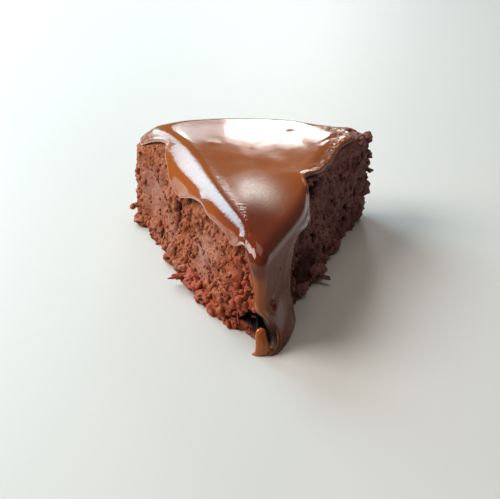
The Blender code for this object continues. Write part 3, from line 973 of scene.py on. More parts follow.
        # Painted shade over the right face's low front, near the foot.
        low_right_shade = bump(along, self.low_right_shade_along, self.low_right_shade_width) * (1 - ramp(height, 7, 22))
        openness = np.maximum(openness, low_right_shade * (0.5 + 0.9 * soft_noise(points, 3.5, 171)))
        faded = ramp(np.abs(along), -2, 7)
        return coarse * ramp(np.abs(along), -2, 9) + depth * faded, openness, pressed

    def recess(self, along: Array, height: Array) -> Array:
        """How far the worn point lies back, most of all in its low hollow.

        Args:
            along: places round the outline.
            height: heights on the wall.

        Returns:
            The largest of a worn hill, a hollow that falls off as a fourth power, and a ledge.
        """
        worn = self.point_recess * bump(along, -1, 9) * (1 - ramp(height, 26, 31))
        place = np.stack([along, height, 0 * height], axis=-1)
        ragged = cloud_noise(place, 3.0, 161)
        across = np.exp(-(((along + 2.0 * ragged) / self.hollow_width) ** 4))
        tall = self.hollow_tall * (1 - 0.5 * ramp(-along, 2, 12)) * (1 + 0.4 * ragged)
        upright = (height - self.hollow_height - 0.25 * np.minimum(along, 0)) / tall
        hollow = self.hollow * across * np.exp(-(upright ** 4))
        ledge = 0.4 * self.hollow * across * (1 - ramp(height, 2, 9))
        return np.maximum(worn, np.maximum(hollow, ledge))

    def wall(self, along: Array, path: Array) -> tuple[Array, dict[str, Array]]:
        """Points on the craggy wall: the smooth skin moved in by its relief.

        Args:
            along: places round the outline.
            path: distances over the skin.

        Returns:
            The points, and their traits: the painted shade of pores, crags and the hollow, smear,
                red, and the painted shade of the right face.
        """
        smooth = self.form.skin(along, path, 0)
        height = smooth[..., 2]
        exposed = ramp(path, -1, 3)
        hem = self.drips.side_hem(along)
        beside = ramp(np.abs(along - self.drips.drape_middle), self.drips.drape_half_width,
                      self.drips.drape_half_width + 8)
        corner = bump(along, -99, 10)
        proud = self.proud * ramp(path, hem + 1.4 - 2.6 * corner, hem + 4 - 4 * corner) * beside
        depth, pore_shade, smear = self.relief(smooth, along, height)
        outward = self.form.outward(along)
        plan = smooth[..., :2] - outward * (depth * exposed - proud)[..., None]
        inward = np.array([0, self.form.middle_from_point]) - plan
        inward /= np.linalg.norm(inward, axis=-1, keepdims=True)
        recess = self.recess(along, height)
        plan = plan + inward * (recess * exposed)[..., None]
        ragged = cloud_noise(smooth, 1.6, 51) * ramp(height, 0.2, 1.5) * exposed
        points = raised(plan, height + 0.35 * ragged * (1 - 0.6 * smear))
        red = 0.9 * bump(along, -8, 13) + self.stain.amount * self.stain.hill(along, height)
        # Painted shade: the worn point's deep hollow is painted darkest.
        pore_shade = np.maximum(pore_shade, 1.7 * ramp(recess, self.recess_from, self.recess_full))
        return points, {"pore_shade": pore_shade * exposed, "smear": smear, "red": np.clip(red, 0, 1),
                        # Painted shade over the right cut face.
                        "right_face_shade": plateau(along, 5, 20, 100, 108)}

    def body(self) -> bpy.types.Object:
        """The sponge itself: hidden rows on top, fine rows down the wall, a flat base.

        Returns:
            The piece.
        """
        form = self.form
        along = form.columns(self.columns, ((0.5, -20, 40), (0.2, 40, 40)))
        plain = {key: np.zeros(along.shape) for key in ("pore_shade", "smear", "red", "right_face_shade")}
        rows = [(form.skin(along, path, 0), plain)
                for path in form.top_paths(along, self.hidden_rows, 8.0)]
        start, drop = -form.half_edge(along), form.wall_drop(along)
        rows += [self.wall(along, start + (drop - start) * part)
                 for part in np.linspace(0, 1, self.wall_rows)]
        foot, traits = rows[-1]
        foot[..., 2] = 0
        middle = np.array([0, form.middle_from_point, 0])
        rows += [(middle + (foot - middle) * (1 - row / (self.base_rows + 1)), traits)
                 for row in range(1, self.base_rows + 1)]
        places = np.stack([points for points, _ in rows])
        stored = {key: np.stack([found[key] for _, found in rows]) for key in plain}
        top = middle + (0, 0, float(form.top_height(middle)))
        return closed_grid("sponge_crumb", places, top, middle, stored)

    def lump_points(self, number: int, lump: Lump, ball: Array) -> tuple[Array, Array]:
        """One lump seated on the wall: a ball pushed out by noise, as in the solids, and rougher.

        Args:
            number: the lump's number, which picks its noise.
            lump: its place and sizes.
            ball: points of a unit ball.

        Returns:
            Its points, and how deep each lies in the lump's own cracks.
        """
        along = np.array([lump.along])
        path = self.form.wall_drop(along) - lump.height
        seat = self.wall(along, path)[0][0]
        normal = self.form.outward(along)[0]
        rough = 0.6 + 0.8 * soft_noise(ball + number * 7.0, 0.7, 5)
        mean = (lump.wide + lump.tall + lump.thick) / 3
        sized = ball * (lump.wide, lump.thick, lump.tall) + number * 23.0
        cracks = 0.8 * pits(sized, 1.4, 0.3, 0.9, 0.6, 85) - 0.9 * cloud_noise(sized, 1.4, 81)
        rough -= cracks / mean
        wide, thick, tall = (ball * rough[:, None]).T
        plan = seat[:2] + normal * (lump.reach + thick[:, None] * lump.thick)
        plan = plan + np.array([-normal[1], normal[0]]) * (wide * lump.wide)[:, None]
        return raised(plan, np.maximum(seat[2] + tall * lump.tall, 0)), cracks

    def base_lumps(self) -> bpy.types.Object:
        """All the lumps as one piece.

        Returns:
            The piece.
        """
        ball, faces = ball_grid(self.lump_rows, self.lump_columns)
        points, cracks = zip(*[self.lump_points(number, lump, ball)
                               for number, lump in enumerate(self.lumps)])
        # Painted shade in the lumps' cracks.
        pore_shade = np.clip(1.3 * np.concatenate(cracks), 0, 1.1)
        red = np.repeat([float(-50 < lump.along < 0) for lump in self.lumps], len(ball))
        # Painted shade for the lumps on the right face.
        right_face_shade = np.repeat([float(5 < lump.along < 100) for lump in self.lumps], len(ball))
        return solid("sponge_lumps", np.concatenate(points),
                     repeated(faces, len(points), len(ball)),
                     {"pore_shade": pore_shade, "smear": 0 * pore_shade, "red": red, "right_face_shade": right_face_shade})

    def loose_grains(self) -> bpy.types.Object:
        """Small crumbs stuck to the cut faces: tiny balls turned, squashed and knocked about.

        Returns:
            The piece.
        """
        random = np.random.default_rng(self.grain_seed)
        count = self.grains
        along = random.uniform(-self.form.half_outline, self.form.half_outline, count)
        lines = self.drips.side_hem(along)
        drop = self.form.wall_drop(along)
        path = lines + 0.8 + (drop - lines - 1.0) * random.uniform(0, 1, count) ** 0.85
        at_drape = (along > self.drips.bare_left) & (along < self.drips.bare_right)
        seat, traits = self.wall(along, path)
        keep = ~at_drape & (traits["pore_shade"] < 0.8)
        keep &= random.uniform(0, 1, count) > 0.75 * traits["smear"]
        along, seat = along[keep], seat[keep]
        count = len(along)
        size = self.grain_least + self.grain_spread * random.uniform(0, 1, count) ** 3
        size *= 1 + 0.5 * bump(along, -9, 11)
        ball, faces = ball_grid(self.grain_rows, self.grain_columns)
        turns = np.linalg.qr(random.normal(size=(count, 3, 3)))[0]
        turns *= np.linalg.det(turns)[:, None, None]
        shape = ball[None] * random.uniform(0.6, 1.25, (count, 1, 3))
        shape = shape * random.uniform(0.72, 1.25, (count, len(ball), 1))
        shape = np.einsum("nij,npj->npi", turns, shape) * size[:, None, None]
        outward = self.form.outward(along)
        centre = seat + raised(outward * size[:, None] * 0.25, np.zeros(count))
        points = shape + centre[:, None]
        points[..., 2] = np.maximum(points[..., 2], TABLE_CLEARANCE)
        tone = np.repeat(random.uniform(0, 1, count), len(ball))
        red, right_face_shade = (np.repeat(traits[key][keep], len(ball)) for key in ("red", "right_face_shade"))
        return solid("crumb_grains", points.reshape(-1, 3), repeated(faces, count, len(ball)),
                     # Each grain gets a random darker tone, carried in the same trait as the
                     # painted shade of pores.
                     {"pore_shade": 0.35 * tone, "smear": 0 * tone, "red": red, "right_face_shade": right_face_shade})


@dataclass(frozen=True)
class Shreds:
    """Grated beetroot in the crumb: thin curved strands that lie on the cut faces."""

    sponge: Sponge
    count: int = 44
    in_heap: int = 26
    seed: int = 17
    rings: int = 11
    sides: int = 6
    heap_along: float = -41.0
    heap_height: float = 2.0
    length: tuple[float, float] = (2.2, 6.5)
    radius: tuple[float, float] = (0.3, 0.6)
    bow: tuple[float, float] = (0.2, 1.1)
    curl: float = 0.9
    flatness: float = 0.6

    def ends(self, random: np.random.Generator) -> tuple[Array, Array]:
        """Where each strand starts and ends: some in a heap by the base, the rest scattered.

        Args:
            random: the draws.

        Returns:
            Places round the wall and heights, each as [strand, end].
        """
        heaped = np.arange(self.count) < self.in_heap
        along = np.where(heaped, self.heap_along + random.normal(0, 3.0, self.count),
                         -3 - 66 * random.uniform(0, 1, self.count) ** 1.5)
        along = np.where(random.uniform(0, 1, self.count) < 0.12, 55 - along * 0.4, along)
        height = np.where(heaped, self.heap_height + np.abs(random.normal(0, 1.2, self.count)),
                          0.8 + 20 * random.uniform(0, 1, self.count) ** 1.6)
        turn = random.normal(0, 0.7, self.count)
        length = random.uniform(*self.length, self.count)
        step = np.stack([-np.cos(turn), np.cos(turn)], axis=-1) * length[:, None] / 2
        climb = np.stack([-np.sin(turn), np.sin(turn)], axis=-1) * length[:, None] / 2
        return along[:, None] + step, np.maximum(height[:, None] + climb, 0.3)

    def build(self) -> bpy.types.Object:
        """The strands: rings round a bowed and curled line between two places on the wall.

        Each line is the straight one between its ends, plus a bow away from the wall, which
        follows half a sine, and a curl along it, which follows a little over a whole one. Its
        radius shrinks towards the ends as the bow to the power 0.4.

        Returns:
            The piece.
        """
        random = np.random.default_rng(self.seed)
        along, height = self.ends(random)
        drop = self.sponge.form.wall_drop(along)
        seats = self.sponge.wall(along, drop - height)[0]
        outward = self.sponge.form.outward(along.mean(axis=1))
        outward = raised(outward, np.zeros(self.count))[:, None]
        part = np.linspace(0, 1, self.rings)[None, :, None]
        hill = np.sin(math.pi * part)
        each = (self.count, 1, 1)
        bow, curl = random.uniform(*self.bow, each), random.normal(0, self.curl, each)
        line = seats[:, :1] * (1 - part) + seats[:, 1:] * part
        reach = seats[:, 1:] - seats[:, :1]
        reach = reach / np.linalg.norm(reach, axis=-1, keepdims=True)
        side = np.cross(reach, outward)
        line = line + outward * (0.15 + bow * hill) + side * curl * np.sin(2.2 * math.pi * part)
        radius = random.uniform(*self.radius, each) * np.maximum(hill, 0.05) ** 0.4
        turn = math.tau * np.arange(self.sides)[None, None, :, None] / self.sides
        rings = line[:, :, None] + radius[..., None] * (
            np.cos(turn) * side[:, :, None]
            + self.flatness * np.sin(turn) * outward[:, :, None])
        points = np.concatenate([rings.reshape(self.count, -1, 3), line[:, :1], line[:, -1:]], 1)
        points[..., 2] = np.maximum(points[..., 2], TABLE_CLEARANCE)
        faces = repeated(tube_faces(self.rings, self.sides)[:, ::-1], *points.shape[:2])
        return solid("beetroot_shreds", points.reshape(-1, 3), faces, {})


@dataclass(frozen=True)
class Drip:
    """A stretch where the glaze hangs lower, or higher if its length is negative."""

    along: float
    length: float
    width: float


@dataclass(frozen=True)
class Drips:
    """Where the glaze ends: its hem along the sides and its drape over the point.

    Each step of the drape says where a line of glaze leaves the top edge, where round the wall
    it ends, and at what height.
    """

    form: Wedge
    left: float = 3.2
    right: float = 0.0
    rear: float = 2.6
    drips: tuple[Drip, ...] = (
        Drip(-120, 2.5, 7), Drip(-98, 1.5, 6), Drip(-88, -3.9, 8), Drip(-69, 1.2, 4),
        Drip(-61, 3.9, 8), Drip(-42, -0.6, 5), Drip(-34, 0.4, 4), Drip(-16.5, 1.2, 2.5),
        Drip(37, 6.5, 6), Drip(42.5, 5.4, 2.2), Drip(51, -3.4, 5.5), Drip(64.5, -0.4, 4),
        Drip(82, -0.8, 10), Drip(101, -3.6, 5), Drip(111, 1.8, 6), Drip(127, 3.0, 7))
    drape: tuple[tuple[float, float, float], ...] = (
        (-11.5, -10.6, 30.0), (-8.5, -7.6, 30.2), (-6.5, -4.2, 28.4), (-5.0, -1.5, 25.6),
        (-4.3, -0.7, 22.5), (-3.6, -1.3, 20.0), (-3.0, -0.5, 17.4), (-2.4, -1.2, 15.2),
        (-1.4, -0.5, 13.0), (0.0, 0.6, 11.4), (1.6, 1.9, 9.8), (3.2, 2.7, 7.6),
        (4.8, 2.9, 5.2), (6.4, 2.4, 3.2), (8.4, 1.3, 1.7), (10.6, 0.5, 0.4), (14.5, 2.5, 0.0),
        (23.5, 19.0, 0.0), (25.0, 19.8, 4.5), (26.5, 17.4, 10.5), (28.5, 18.0, 16.5),
        (30.5, 22.0, 22.0), (33.0, 28.0, 25.8))
    drape_middle: float = 11.0
    drape_half_width: float = 25.0
    rounding: float = 1.3
    bare_left: float = -3.0
    bare_right: float = 19.0

    def side_hem(self, along: Array) -> Array:
        """The path at which the glaze ends away from the point: a level line and its drips.

        Args:
            along: places round the outline.

        Returns:
            The path at each.
        """
        rear = ramp(np.abs(along), 94, 104)
        side = np.where(along < 0, self.left, self.right)
        path = side + (self.rear - side) * rear
        line = np.stack([along, 0 * along, 0 * along], axis=-1)
        corners = bump(along, -97, 9) + bump(along, 101, 9)
        path = path + 1.5 * corners * cloud_noise(line, 3.0, 141)
        for drip in self.drips:
            path = path + drip.length * bump(along, drip.along, drip.width)
        return path

    def hem(self, along: Array) -> tuple[Array, Array]:
        """Where each line of glaze ends, averaged over the lines close by so that it is round.

        Args:
            along: where the lines leave the top edge.

        Returns:
            The ends' places round the wall and their paths down it.
        """
        starts, ends, heights = np.array(self.drape).T
        borders = self.drape_middle + self.drape_half_width * np.array([-1.0, 1.0])
        starts, ends, drops = (
            np.concatenate([border[:1], inner, border[1:]]) for border, inner in (
                (borders, starts), (borders, ends),
                (self.side_hem(borders), self.form.wall_drop(ends) - heights)))
        place, path, total = 0.0, 0.0, 0.0
        for step in np.linspace(-1, 1, 15):
            nearby, weight = along + step * self.rounding, 1 - step * step
            inside = (nearby > borders[0]) & (nearby < borders[1])
            place = place + weight * np.where(inside, np.interp(nearby, starts, ends), nearby)
            path = path + weight * np.where(inside, np.interp(nearby, starts, drops),
                                            self.side_hem(nearby))
            total += weight
        return place / total, path / total

    def facing(self, along: Array) -> tuple[Array, Array]:
        """The way the rim faces: square to the hem over the point, straight down elsewhere.

        Args:
            along: where the lines leave the top edge.

        Returns:
            The sideways and downwards parts of a unit direction on the wall.
        """
        after, before = self.hem(along + 0.9), self.hem(along - 0.9)
        step, rise = after[0] - before[0], after[1] - before[1]
        length = np.maximum(np.hypot(rise, step), 1e-9)
        over_point = 1 - ramp(np.abs(along - self.drape_middle), self.drape_half_width - 6,
                              self.drape_half_width)
        sideways = -rise / length * over_point
        downwards = 1 + (step / length - 1) * over_point
        size = np.hypot(sideways, downwards)
        return sideways / size, downwards / size


@dataclass(frozen=True)
class Mark:
    """A small round hill on the glaze's top, or a dimple if its height is negative."""

    across: float
    back: float
    width: float
    height: float


@dataclass(frozen=True)
class Glaze:
    """The poured skin: it lies on the top, hangs in drips and stands as a foot at the point."""

    form: Wedge
    drips: Drips
    columns: int = 900
    top_rows: int = 25
    edge_rows: int = 13
    drape_rows: int = 50
    rim_rows: int = 7
    inner_rows: int = 12
    skin_start: float = 8.0
    gap: float = 0.5
    thickness: float = 1.3
    corner_film: float = 0.45
    foot_height: float = 13.5
    foot_bulge: float = 4.7
    foot_middle: float = 7.5
    foot_spread: float = 17.0
    rim_radius: float = 0.5
    bead: float = 0.35
    bubble: tuple[float, float, float] = (4.0, 4.9, 12.5)
    bubble_rim: float = 0.8
    bubble_depth: float = 1.4
    wave_depth: float = 0.012
    streak_depth: float = 0.30
    lumpy_depth: float = 0.36
    # Where the painted reflection patch lies on the top, and its half-sizes.
    patch_middle: tuple[float, float] = (0.2, 38.0)
    patch_reach: tuple[float, float] = (6.0, 8.5)
    foot_shell: float = 1.5
    marks: tuple[Mark, ...] = (
        Mark(-1.2, 60.5, 1.0, -0.04), Mark(12.9, 86, 1.6, -0.10), Mark(-14, 75, 2.0, 0.06),
        Mark(-31, 84, 9, -0.32), Mark(2, 62, 5, 0.05))
    lip_rows: int = 40
    lip_columns: int = 32
    lip_tall: float = 8.2
    lip_half_width: float = 0.62
    lip_half_depth: float = 0.9

    def film(self, along: Array, path: Array) -> Array:
        """How far the glaze has thinned to a film: two corners where it has run off the crumb,
        and the right.

        Args:
            along: places round the outline.
            path: distances over the skin.

        Returns:
            0 where it is thick to 1 where it is a film.
        """
        left, right = bump(along, -99, 9), bump(along, 101, 8)
        thinned = 0.9 * bump(along, 72, 20) * (1 - right)
        return left * ramp(path, -3, 2) + right * ramp(path, -9, -2) + thinned * ramp(path, -6, 0)

    def bubble_ring(self, place: Array, path: Array) -> Array:
        """Distance from the burst bubble's middle to the smooth glaze, in millimetres."""
        thick = self.gap + self.thickness + self.foot_bulge * self.foot(place, path)
        return np.linalg.norm(self.form.skin(place, path, thick) - self.bubble, axis=-1)

    def foot(self, along: Array, path: Array) -> Array:
        """How much of the foot's bulge there is: full at the table's height by the point.

        Args:
            along: places round the outline.
            path: distances over the skin.

        Returns:
            The share of the bulge.
        """
        tall = 1 - ramp(self.form.wall_drop(along) - path, 0.5, self.foot_height)
        width = np.clip(1 - ((along - self.foot_middle) / self.foot_spread) ** 2, 0, 1)
        return tall * width * ramp(path, 3, 8)

    def hem_gap(self, place: Array, path: Array, edge: Array) -> Array:
        """Distance over the skin to the nearest of the hem's points, each (place, path)."""
        return np.hypot(place[:, None] - edge[:, 0], path[:, None] - edge[:, 1]).min(axis=1)

    def level(self, across: Array, back: Array) -> Array:
        """What levels the glaze's top: it fills the dish and the dip and evens the rear rise.

        Args:
            across: places across the slice.
            back: distances back from the point.

        Returns:
            The extra thickness.
        """
        dish, dip = self.form.hollows(across, back)
        evened = self.form.rear_rise * (np.clip((back - 20) / 75, 0, 1) - ramp(back, 50, 90))
        evened += 0.3 * ramp(back, 46, 74) + 0.25 * bump(across, -13, 8) * bump(back, 88, 25)
        return dish + evened + 0.8 * dip * (bump(back, 97, 12) - bump(back, 103, 7))

    def surface_detail(self, line: Array, place: Array, path: Array, hem_gap: Array) -> Array:
        """What the smooth glaze has on it: a bead at its hem, waves, flow streaks and bubbles.

        Args:
            line: where each line of glaze left the top edge.
            place: places round the wall.
            path: distances over the skin.
            hem_gap: distances to the hem.

        Returns:
            The extra thickness.
        """
        flat, film = self.form.skin(place, path, 0), self.film(place, path)
        waves = self.wave_depth * cloud_noise(flat * (1, 1, 0.6), 9.0, 101, 2)
        thick_hem = 1 - 0.8 * film + bump(place, -1, 4) * ramp(path, 6, 12)
        bead = self.bead * bump(hem_gap, 0.8, 0.8) * thick_hem
        column = np.stack([line, 0 * line, path * 0.16], axis=-1)
        flow = ramp(path, 1, 8) * plateau(line, 2, 9, 34, 40)
        flow *= 1 - ramp(self.foot(place, path), 0.1, 0.4)
        streaks = self.streak_depth * cloud_noise(column, 3.4, 105) * flow
        lumpy = self.lumpy_depth * cloud_noise(flat, 2.4, 111) * film
        across, back = flat[..., 0], flat[..., 1]
        crown = self.level(across, back)
        for mark in self.marks:
            crown += mark.height * bump(np.hypot(across - mark.across, back - mark.back), 0,
                                        mark.width)
        ring = self.bubble_ring(place, path)
        bubble = self.bubble_rim * bump(ring, 1.9, 0.5)
        bubble -= self.bubble_depth * (1 - ramp(ring, 0.7, 1.7))
        return waves + bead + streaks + lumpy + crown + bubble

    def layer(self, line: Array, place: Array, path: Array, hem_gap: Array,
              outer: Number) -> Array:
        """A layer of points in the glaze.

        Args:
            line: where each line of glaze left the top edge.
            place: places round the wall.
            path: distances over the skin.
            hem_gap: distances to the hem.
            outer: 0 for the inner side to 1 for the outer side.

        Returns:
            The points.
        """
        film, bulge = self.film(place, path), self.foot_bulge * self.foot(place, path)
        thick = self.thickness + (self.corner_film - self.thickness) * film + bulge
        thick = thick + self.surface_detail(line, place, path, hem_gap)
        hollow = np.maximum(bulge - self.foot_shell, 0) * bump(place, 1, 6)
        gap = self.gap * (1 - 0.7 * film)
        return self.form.skin(place, path, gap + hollow * (1 - outer) + thick * outer)

    def lip(self) -> bpy.types.Object:
        """The tongue of glaze that stands at the foot's left, beyond the dark slot.

        Rings of an oval in (along, lift) at each height, whose middle sways as a sine while it
        rises. The oval shrinks at the top as a half circle does and spreads at the foot.

        Returns:
            The piece.
        """
        part = np.linspace(0, 1, self.lip_rows)[::-1, None]
        turn = math.tau * np.arange(self.lip_columns)[None, :] / self.lip_columns
        size = np.sqrt(np.clip(1 - np.clip((part - 0.86) / 0.14, 0, 1) ** 2, 0.01, 1))
        middle = 0.10 + 0.3 * part ** 0.5 + 0.16 * np.sin(6 * part)
        foot = 1.8 * (1 - ramp(part, 0.04, 0.26)) * np.clip(np.cos(turn), 0, 1)
        along = middle + foot + self.lip_half_width * (1.1 - 0.25 * part) * size * np.cos(turn)
        path = self.form.wall_drop(along) - self.lip_tall * part
        outer = self.gap + self.thickness + self.foot_bulge * self.foot(along, path)
        lift = outer - self.lip_half_depth * (0.7 + 0.8 * (1 - part)) + (
            self.lip_half_depth * size * np.sin(turn))
        rows = self.form.skin(along, path, lift)
        # The lip is lighter orange all over: thinly spread see-through glaze, with painted light.
        traits = {key: np.full(path.shape, float(key == "thin_and_lit"))
                  for key in ("film", "deep", "inner", "brushed", "painted_sheen_mask", "thin_and_lit")}
        return closed_grid("glaze_lip", rows[:, ::-1], rows[0].mean(axis=0),
                           rows[-1].mean(axis=0), traits)

    def traits(self, place: Array, path: Array, to_hem: Array, depths: Array,
               points: Array) -> dict[str, Array]:
        """What the finish reads at each point of the sheet.

        Args:
            place: places round the wall.
            path: distances over the skin.
            to_hem: distances to where the point's own line of glaze ends.
            depths: for each row, 0 on the outer side to 1 on the inner one.
            points: the points themselves.

        Returns:
            How filmy, deep and brushed each is, and how much orange it has for thinly spread
            glaze and painted light, painted shade inside and painted sheen, from 0 to 1.
        """
        across, back = points[..., 0], points[..., 1]
        # Painted shade: the slot at the foot's left and the sheet's inner side, where shade
        # falls.
        slot = bump(self.form.wall_drop(place) - path, 4.6, 4.2) * (1 - ramp(to_hem, 1.2, 3.4))
        inner = np.maximum(ramp(depths, 0.35, 0.7), slot * bump(place, 3.4, 4.6))
        # Lighter orange: thinly spread see-through glaze at the point's left edge, and painted
        # light over the glaze of the left side, which faces the lamps.
        thin_and_lit = bump(place, -1, 2.5) * ramp(path, 4, 9)
        thin_and_lit += 0.35 * ramp(-place, 4, 12) * ramp(path, -1, 3)
        burst = 1 - ramp(self.bubble_ring(place, path), 1.1, 1.8)
        # Darker and redder towards the point and inside the burst bubble.
        deep = np.maximum(0.85 * (1 - ramp(back, 18, 58)) * (1 - thin_and_lit), burst)
        # Painted reflection: a soft pale patch on the top.
        patch = bump(np.hypot((across - self.patch_middle[0]) / self.patch_reach[0],
                              (back - self.patch_middle[1]) / self.patch_reach[1]), 0, 1)
        # Painted highlight along the rim of the left hem.
        lit_edge = bump(depths, 0.25, 0.28) * ramp(-place, 3, 8) * (depths > 0)
        return {"film": self.film(place, path), "deep": deep, "inner": inner,
                "brushed": ramp(-place, 4, 14) * bump(path, -2.5, 3.4), "thin_and_lit": thin_and_lit,
                "painted_sheen_mask": np.maximum(patch, lit_edge)}

    def build(self) -> bpy.types.Object:
        """The closed sheet: out over the top to the hem, round the rim and back underneath.

        Returns:
            The piece.
        """
        form = self.form
        along = form.columns(self.columns, ((2.2, 8, 12), (0.6, 25, 12), (0.4, -40, 50),
                                            (0.6, 101, 10)))
        half = form.half_edge(along)
        hem_place, hem_path = self.drips.hem(along)
        squeeze = np.clip((hem_path + self.skin_start - 1) / (half + self.skin_start), 0.3, 1)
        edge = np.stack([hem_place, hem_path], axis=-1)
        lines = [(along, path) for path in form.top_paths(along, self.top_rows, self.skin_start)]
        lines += [(along, -self.skin_start + (self.skin_start + half) * part * squeeze)
                  for part in np.linspace(0, 1, self.edge_rows + 1)[1:]]
        start = lines[-1][1]
        floor = ramp(hem_path, form.wall_drop(hem_place) - 1.5, form.wall_drop(hem_place) - 0.2)
        radius = self.rim_radius * (1 - floor)
        sideways, downwards = self.drips.facing(along)
        rim_place, rim_path = hem_place - sideways * radius, hem_path - downwards * radius
        parts = 1 - (1 - np.arange(1, self.drape_rows + 1) / self.drape_rows) ** 1.3
        lines += [(along + (rim_place - along) * part, start + (rim_path - start) * part)
                  for part in parts]
        rows = [self.layer(along, *line, self.hem_gap(*line, edge), 1.0) for line in lines]
        round_rim = np.arange(1, self.rim_rows + 1) / (self.rim_rows + 1)
        for turn in math.pi * round_rim:
            past = radius * math.sin(turn)
            rows.append(self.layer(along, rim_place + sideways * past,
                                   rim_path + downwards * past, radius,
                                   (1 + math.cos(turn)) / 2))
        chosen = np.linspace(len(lines) - 2, 2, self.inner_rows).round().astype(int)
        rows += [self.layer(along, *lines[index], 9.0, 0.0) for index in chosen]
        order = list(range(len(lines))) + [len(lines) - 1] * self.rim_rows + list(chosen)
        depths = np.concatenate([np.zeros(len(lines)), round_rim,
                                 np.ones(self.inner_rows)])[:, None]
        place, path = (np.stack([lines[index][part] for index in order]) for part in (0, 1))
        to_hem = np.hypot(place - hem_place, path - hem_path)
        points, plan = np.stack(rows), np.array([0, form.middle_from_point])
        under = float(form.top_height(plan)) + self.gap
        return closed_grid("poured_glaze", points, rows[0].mean(axis=0), np.array([*plan, under]),
                           self.traits(place, path, to_hem, depths, points))


# The studio --------------------------------------------------------------------------------


@dataclass(frozen=True)
class Window:
    """A soft light: where it hangs round the slice, its size, strength and colour."""

    name: str
    turn: float
    rise: float
    distance: float
    width: float
    height: float
    power: float
    colour: Colour


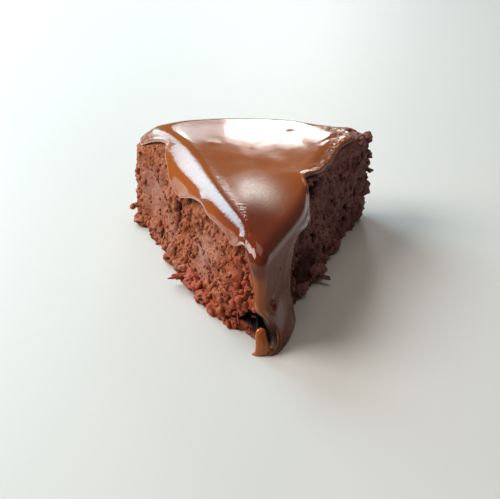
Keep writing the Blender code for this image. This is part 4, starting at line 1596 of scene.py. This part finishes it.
@dataclass(frozen=True)
class Studio:
    """The pale floor, the soft lights and the camera at the picture's angle."""

    camera_place: tuple[float, float, float] = (-10.23, -278.49, 177.65)
    camera_turn: float = math.radians(1.5)
    camera_dip: float = math.radians(27.36)
    camera_roll: float = math.radians(1.104)
    focal_length: float = 80.0
    sensor: float = 36.0
    nearest_seen: float = 0.01
    floor_half: float = 1.6
    windows: tuple[Window, ...] = (
        Window("window_left", -36, 30, 0.75, 0.37, 0.40, 4.1, (0.60, 0.88, 1.0)),
        Window("window_back", 2.8, 19.5, 1.2, 0.091, 0.197, 0.73, (1.0, 0.99, 0.97)),
        Window("window_side", 6.7, 17.2, 1.2, 0.064, 0.222, 0.50, (1.0, 0.99, 0.97)),
        Window("curtain", -1.5, 19.8, 1.2, 0.08, 0.197, 0.15, (0.78, 0.94, 1.0)),
        Window("white_wall", -88, 42, 1.2, 0.8, 0.7, 16.0, (1.0, 0.95, 0.89)),
        Window("ceiling", 30, 78, 1.3, 0.9, 0.9, 3.4, (1.0, 0.87, 0.74)))
    ambient: Colour = (1.0, 0.96, 0.91)
    ambient_strength: float = 0.12

    def pose(self, name: str, data: bpy.types.ID, right: Array, upward: Array,
             place: Array) -> bpy.types.Object:
        """Put a camera or light into the scene, turned by its right and upward directions.

        Args:
            name: its name.
            data: the camera or light.
            right: its own right, a unit direction.
            upward: its own up, a unit direction.
            place: where it goes, in metres.

        Returns:
            The object.
        """
        item, matrix = placed(name, data), np.eye(4)
        matrix[:3, :] = np.stack([right, upward, np.cross(right, upward), place], axis=-1)
        item.matrix_world = Matrix(matrix.tolist())
        return item

    def toward(self, turn: float, rise: float) -> Array:
        """A unit direction from its turn off straight back, to the right, and its rise."""
        return np.array([math.sin(turn) * math.cos(rise), math.cos(turn) * math.cos(rise),
                         math.sin(rise)])

    def camera(self) -> None:
        """The camera: looking forward and down from the front, rolled a little."""
        turn, roll = self.camera_turn, self.camera_roll
        right = np.array([math.cos(turn), -math.sin(turn), 0])
        upward = np.cross(right, self.toward(turn, -self.camera_dip))
        rolled_right = math.cos(roll) * right + math.sin(roll) * upward
        rolled_up = math.cos(roll) * upward - math.sin(roll) * right
        data = bpy.data.cameras.new("picture_camera")
        data.lens, data.sensor_width, data.sensor_fit = (self.focal_length, self.sensor,
                                                         "HORIZONTAL")
        data.clip_start = self.nearest_seen
        place = (np.array(self.camera_place) - (0, ORIGIN_FROM_POINT, 0)) * MM
        bpy.context.scene.camera = self.pose(data.name, data, rolled_right, rolled_up, place)

    def light(self, window: Window) -> None:
        """One area light, hung round the slice and facing it.

        Args:
            window: where it hangs and how strong it is.
        """
        turn = math.radians(window.turn)
        toward = self.toward(turn, math.radians(window.rise))
        data = bpy.data.lights.new(window.name, "AREA")
        data.shape, data.size, data.size_y = "RECTANGLE", window.width, window.height
        data.energy, data.color = window.power, window.colour
        right = np.array([-math.cos(turn), math.sin(turn), 0])
        self.pose(window.name, data, right, np.cross(toward, right), toward * window.distance)

    def floor(self) -> None:
        """The floor: one level square with its top at the slice's underside."""
        square = np.array([[-1, -1, 0], [1, -1, 0], [1, 1, 0], [-1, 1, 0]])
        corners = self.floor_half / MM * square + (0, ORIGIN_FROM_POINT, -TABLE_CLEARANCE)
        piece = solid("floor", corners, np.array([[0, 1, 2], [0, 2, 3]]), {})
        piece.data.materials.append(FloorFinish().material())

    def build(self) -> None:
        """Set the floor, the lights, the dim surroundings and the camera."""
        self.camera()
        self.floor()
        for window in self.windows:
            self.light(window)
        world = bpy.data.worlds.new("soft_room")
        world.use_nodes = True
        background = world.node_tree.nodes["Background"]
        background.inputs["Color"].default_value = (*self.ambient, 1)
        background.inputs["Strength"].default_value = self.ambient_strength
        bpy.context.scene.world = world
        bpy.context.scene.view_settings.view_transform = "Standard"


class Slot(Enum):
    """The record's material slots."""

    CRUMB = "crumb"
    GLAZE = "glaze"


def dress(piece: bpy.types.Object, material: bpy.types.Material, slot: Slot,
          *nodes: str) -> None:
    """Give a piece its finish and its place on the part.

    Args:
        piece: the new piece.
        material: its finish.
        slot: the record's slot for its finish; not used.
        nodes: the solids that it stands for.
    """
    piece.data.materials.append(material)
    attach(piece, "root")
    if nodes:
        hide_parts(*nodes)
    log.info("%s: %d points, %d faces", piece.name, len(piece.data.vertices),
             len(piece.data.polygons))


def main() -> None:
    """Build the studio, the sponge and the glaze, and report each piece."""
    logging.basicConfig(level=logging.INFO, format="%(name)s %(message)s")
    Studio().build()
    form = Wedge()
    drips = Drips(form)
    sponge, crumb = Sponge(form, drips), CrumbFinish().material()
    dress(sponge.body(), crumb, Slot.CRUMB, "sponge")
    dress(sponge.base_lumps(), crumb, Slot.CRUMB, "sponge")
    dress(sponge.loose_grains(), crumb, Slot.CRUMB)
    dress(Shreds(sponge).build(), ShredFinish().material(), Slot.CRUMB)
    glaze, gloss = Glaze(form, drips), GlazeFinish().material()
    dress(glaze.build(), gloss, Slot.GLAZE, "glaze")
    dress(glaze.lip(), gloss, Slot.GLAZE, "glaze")


if __name__ == "__main__":
    main()
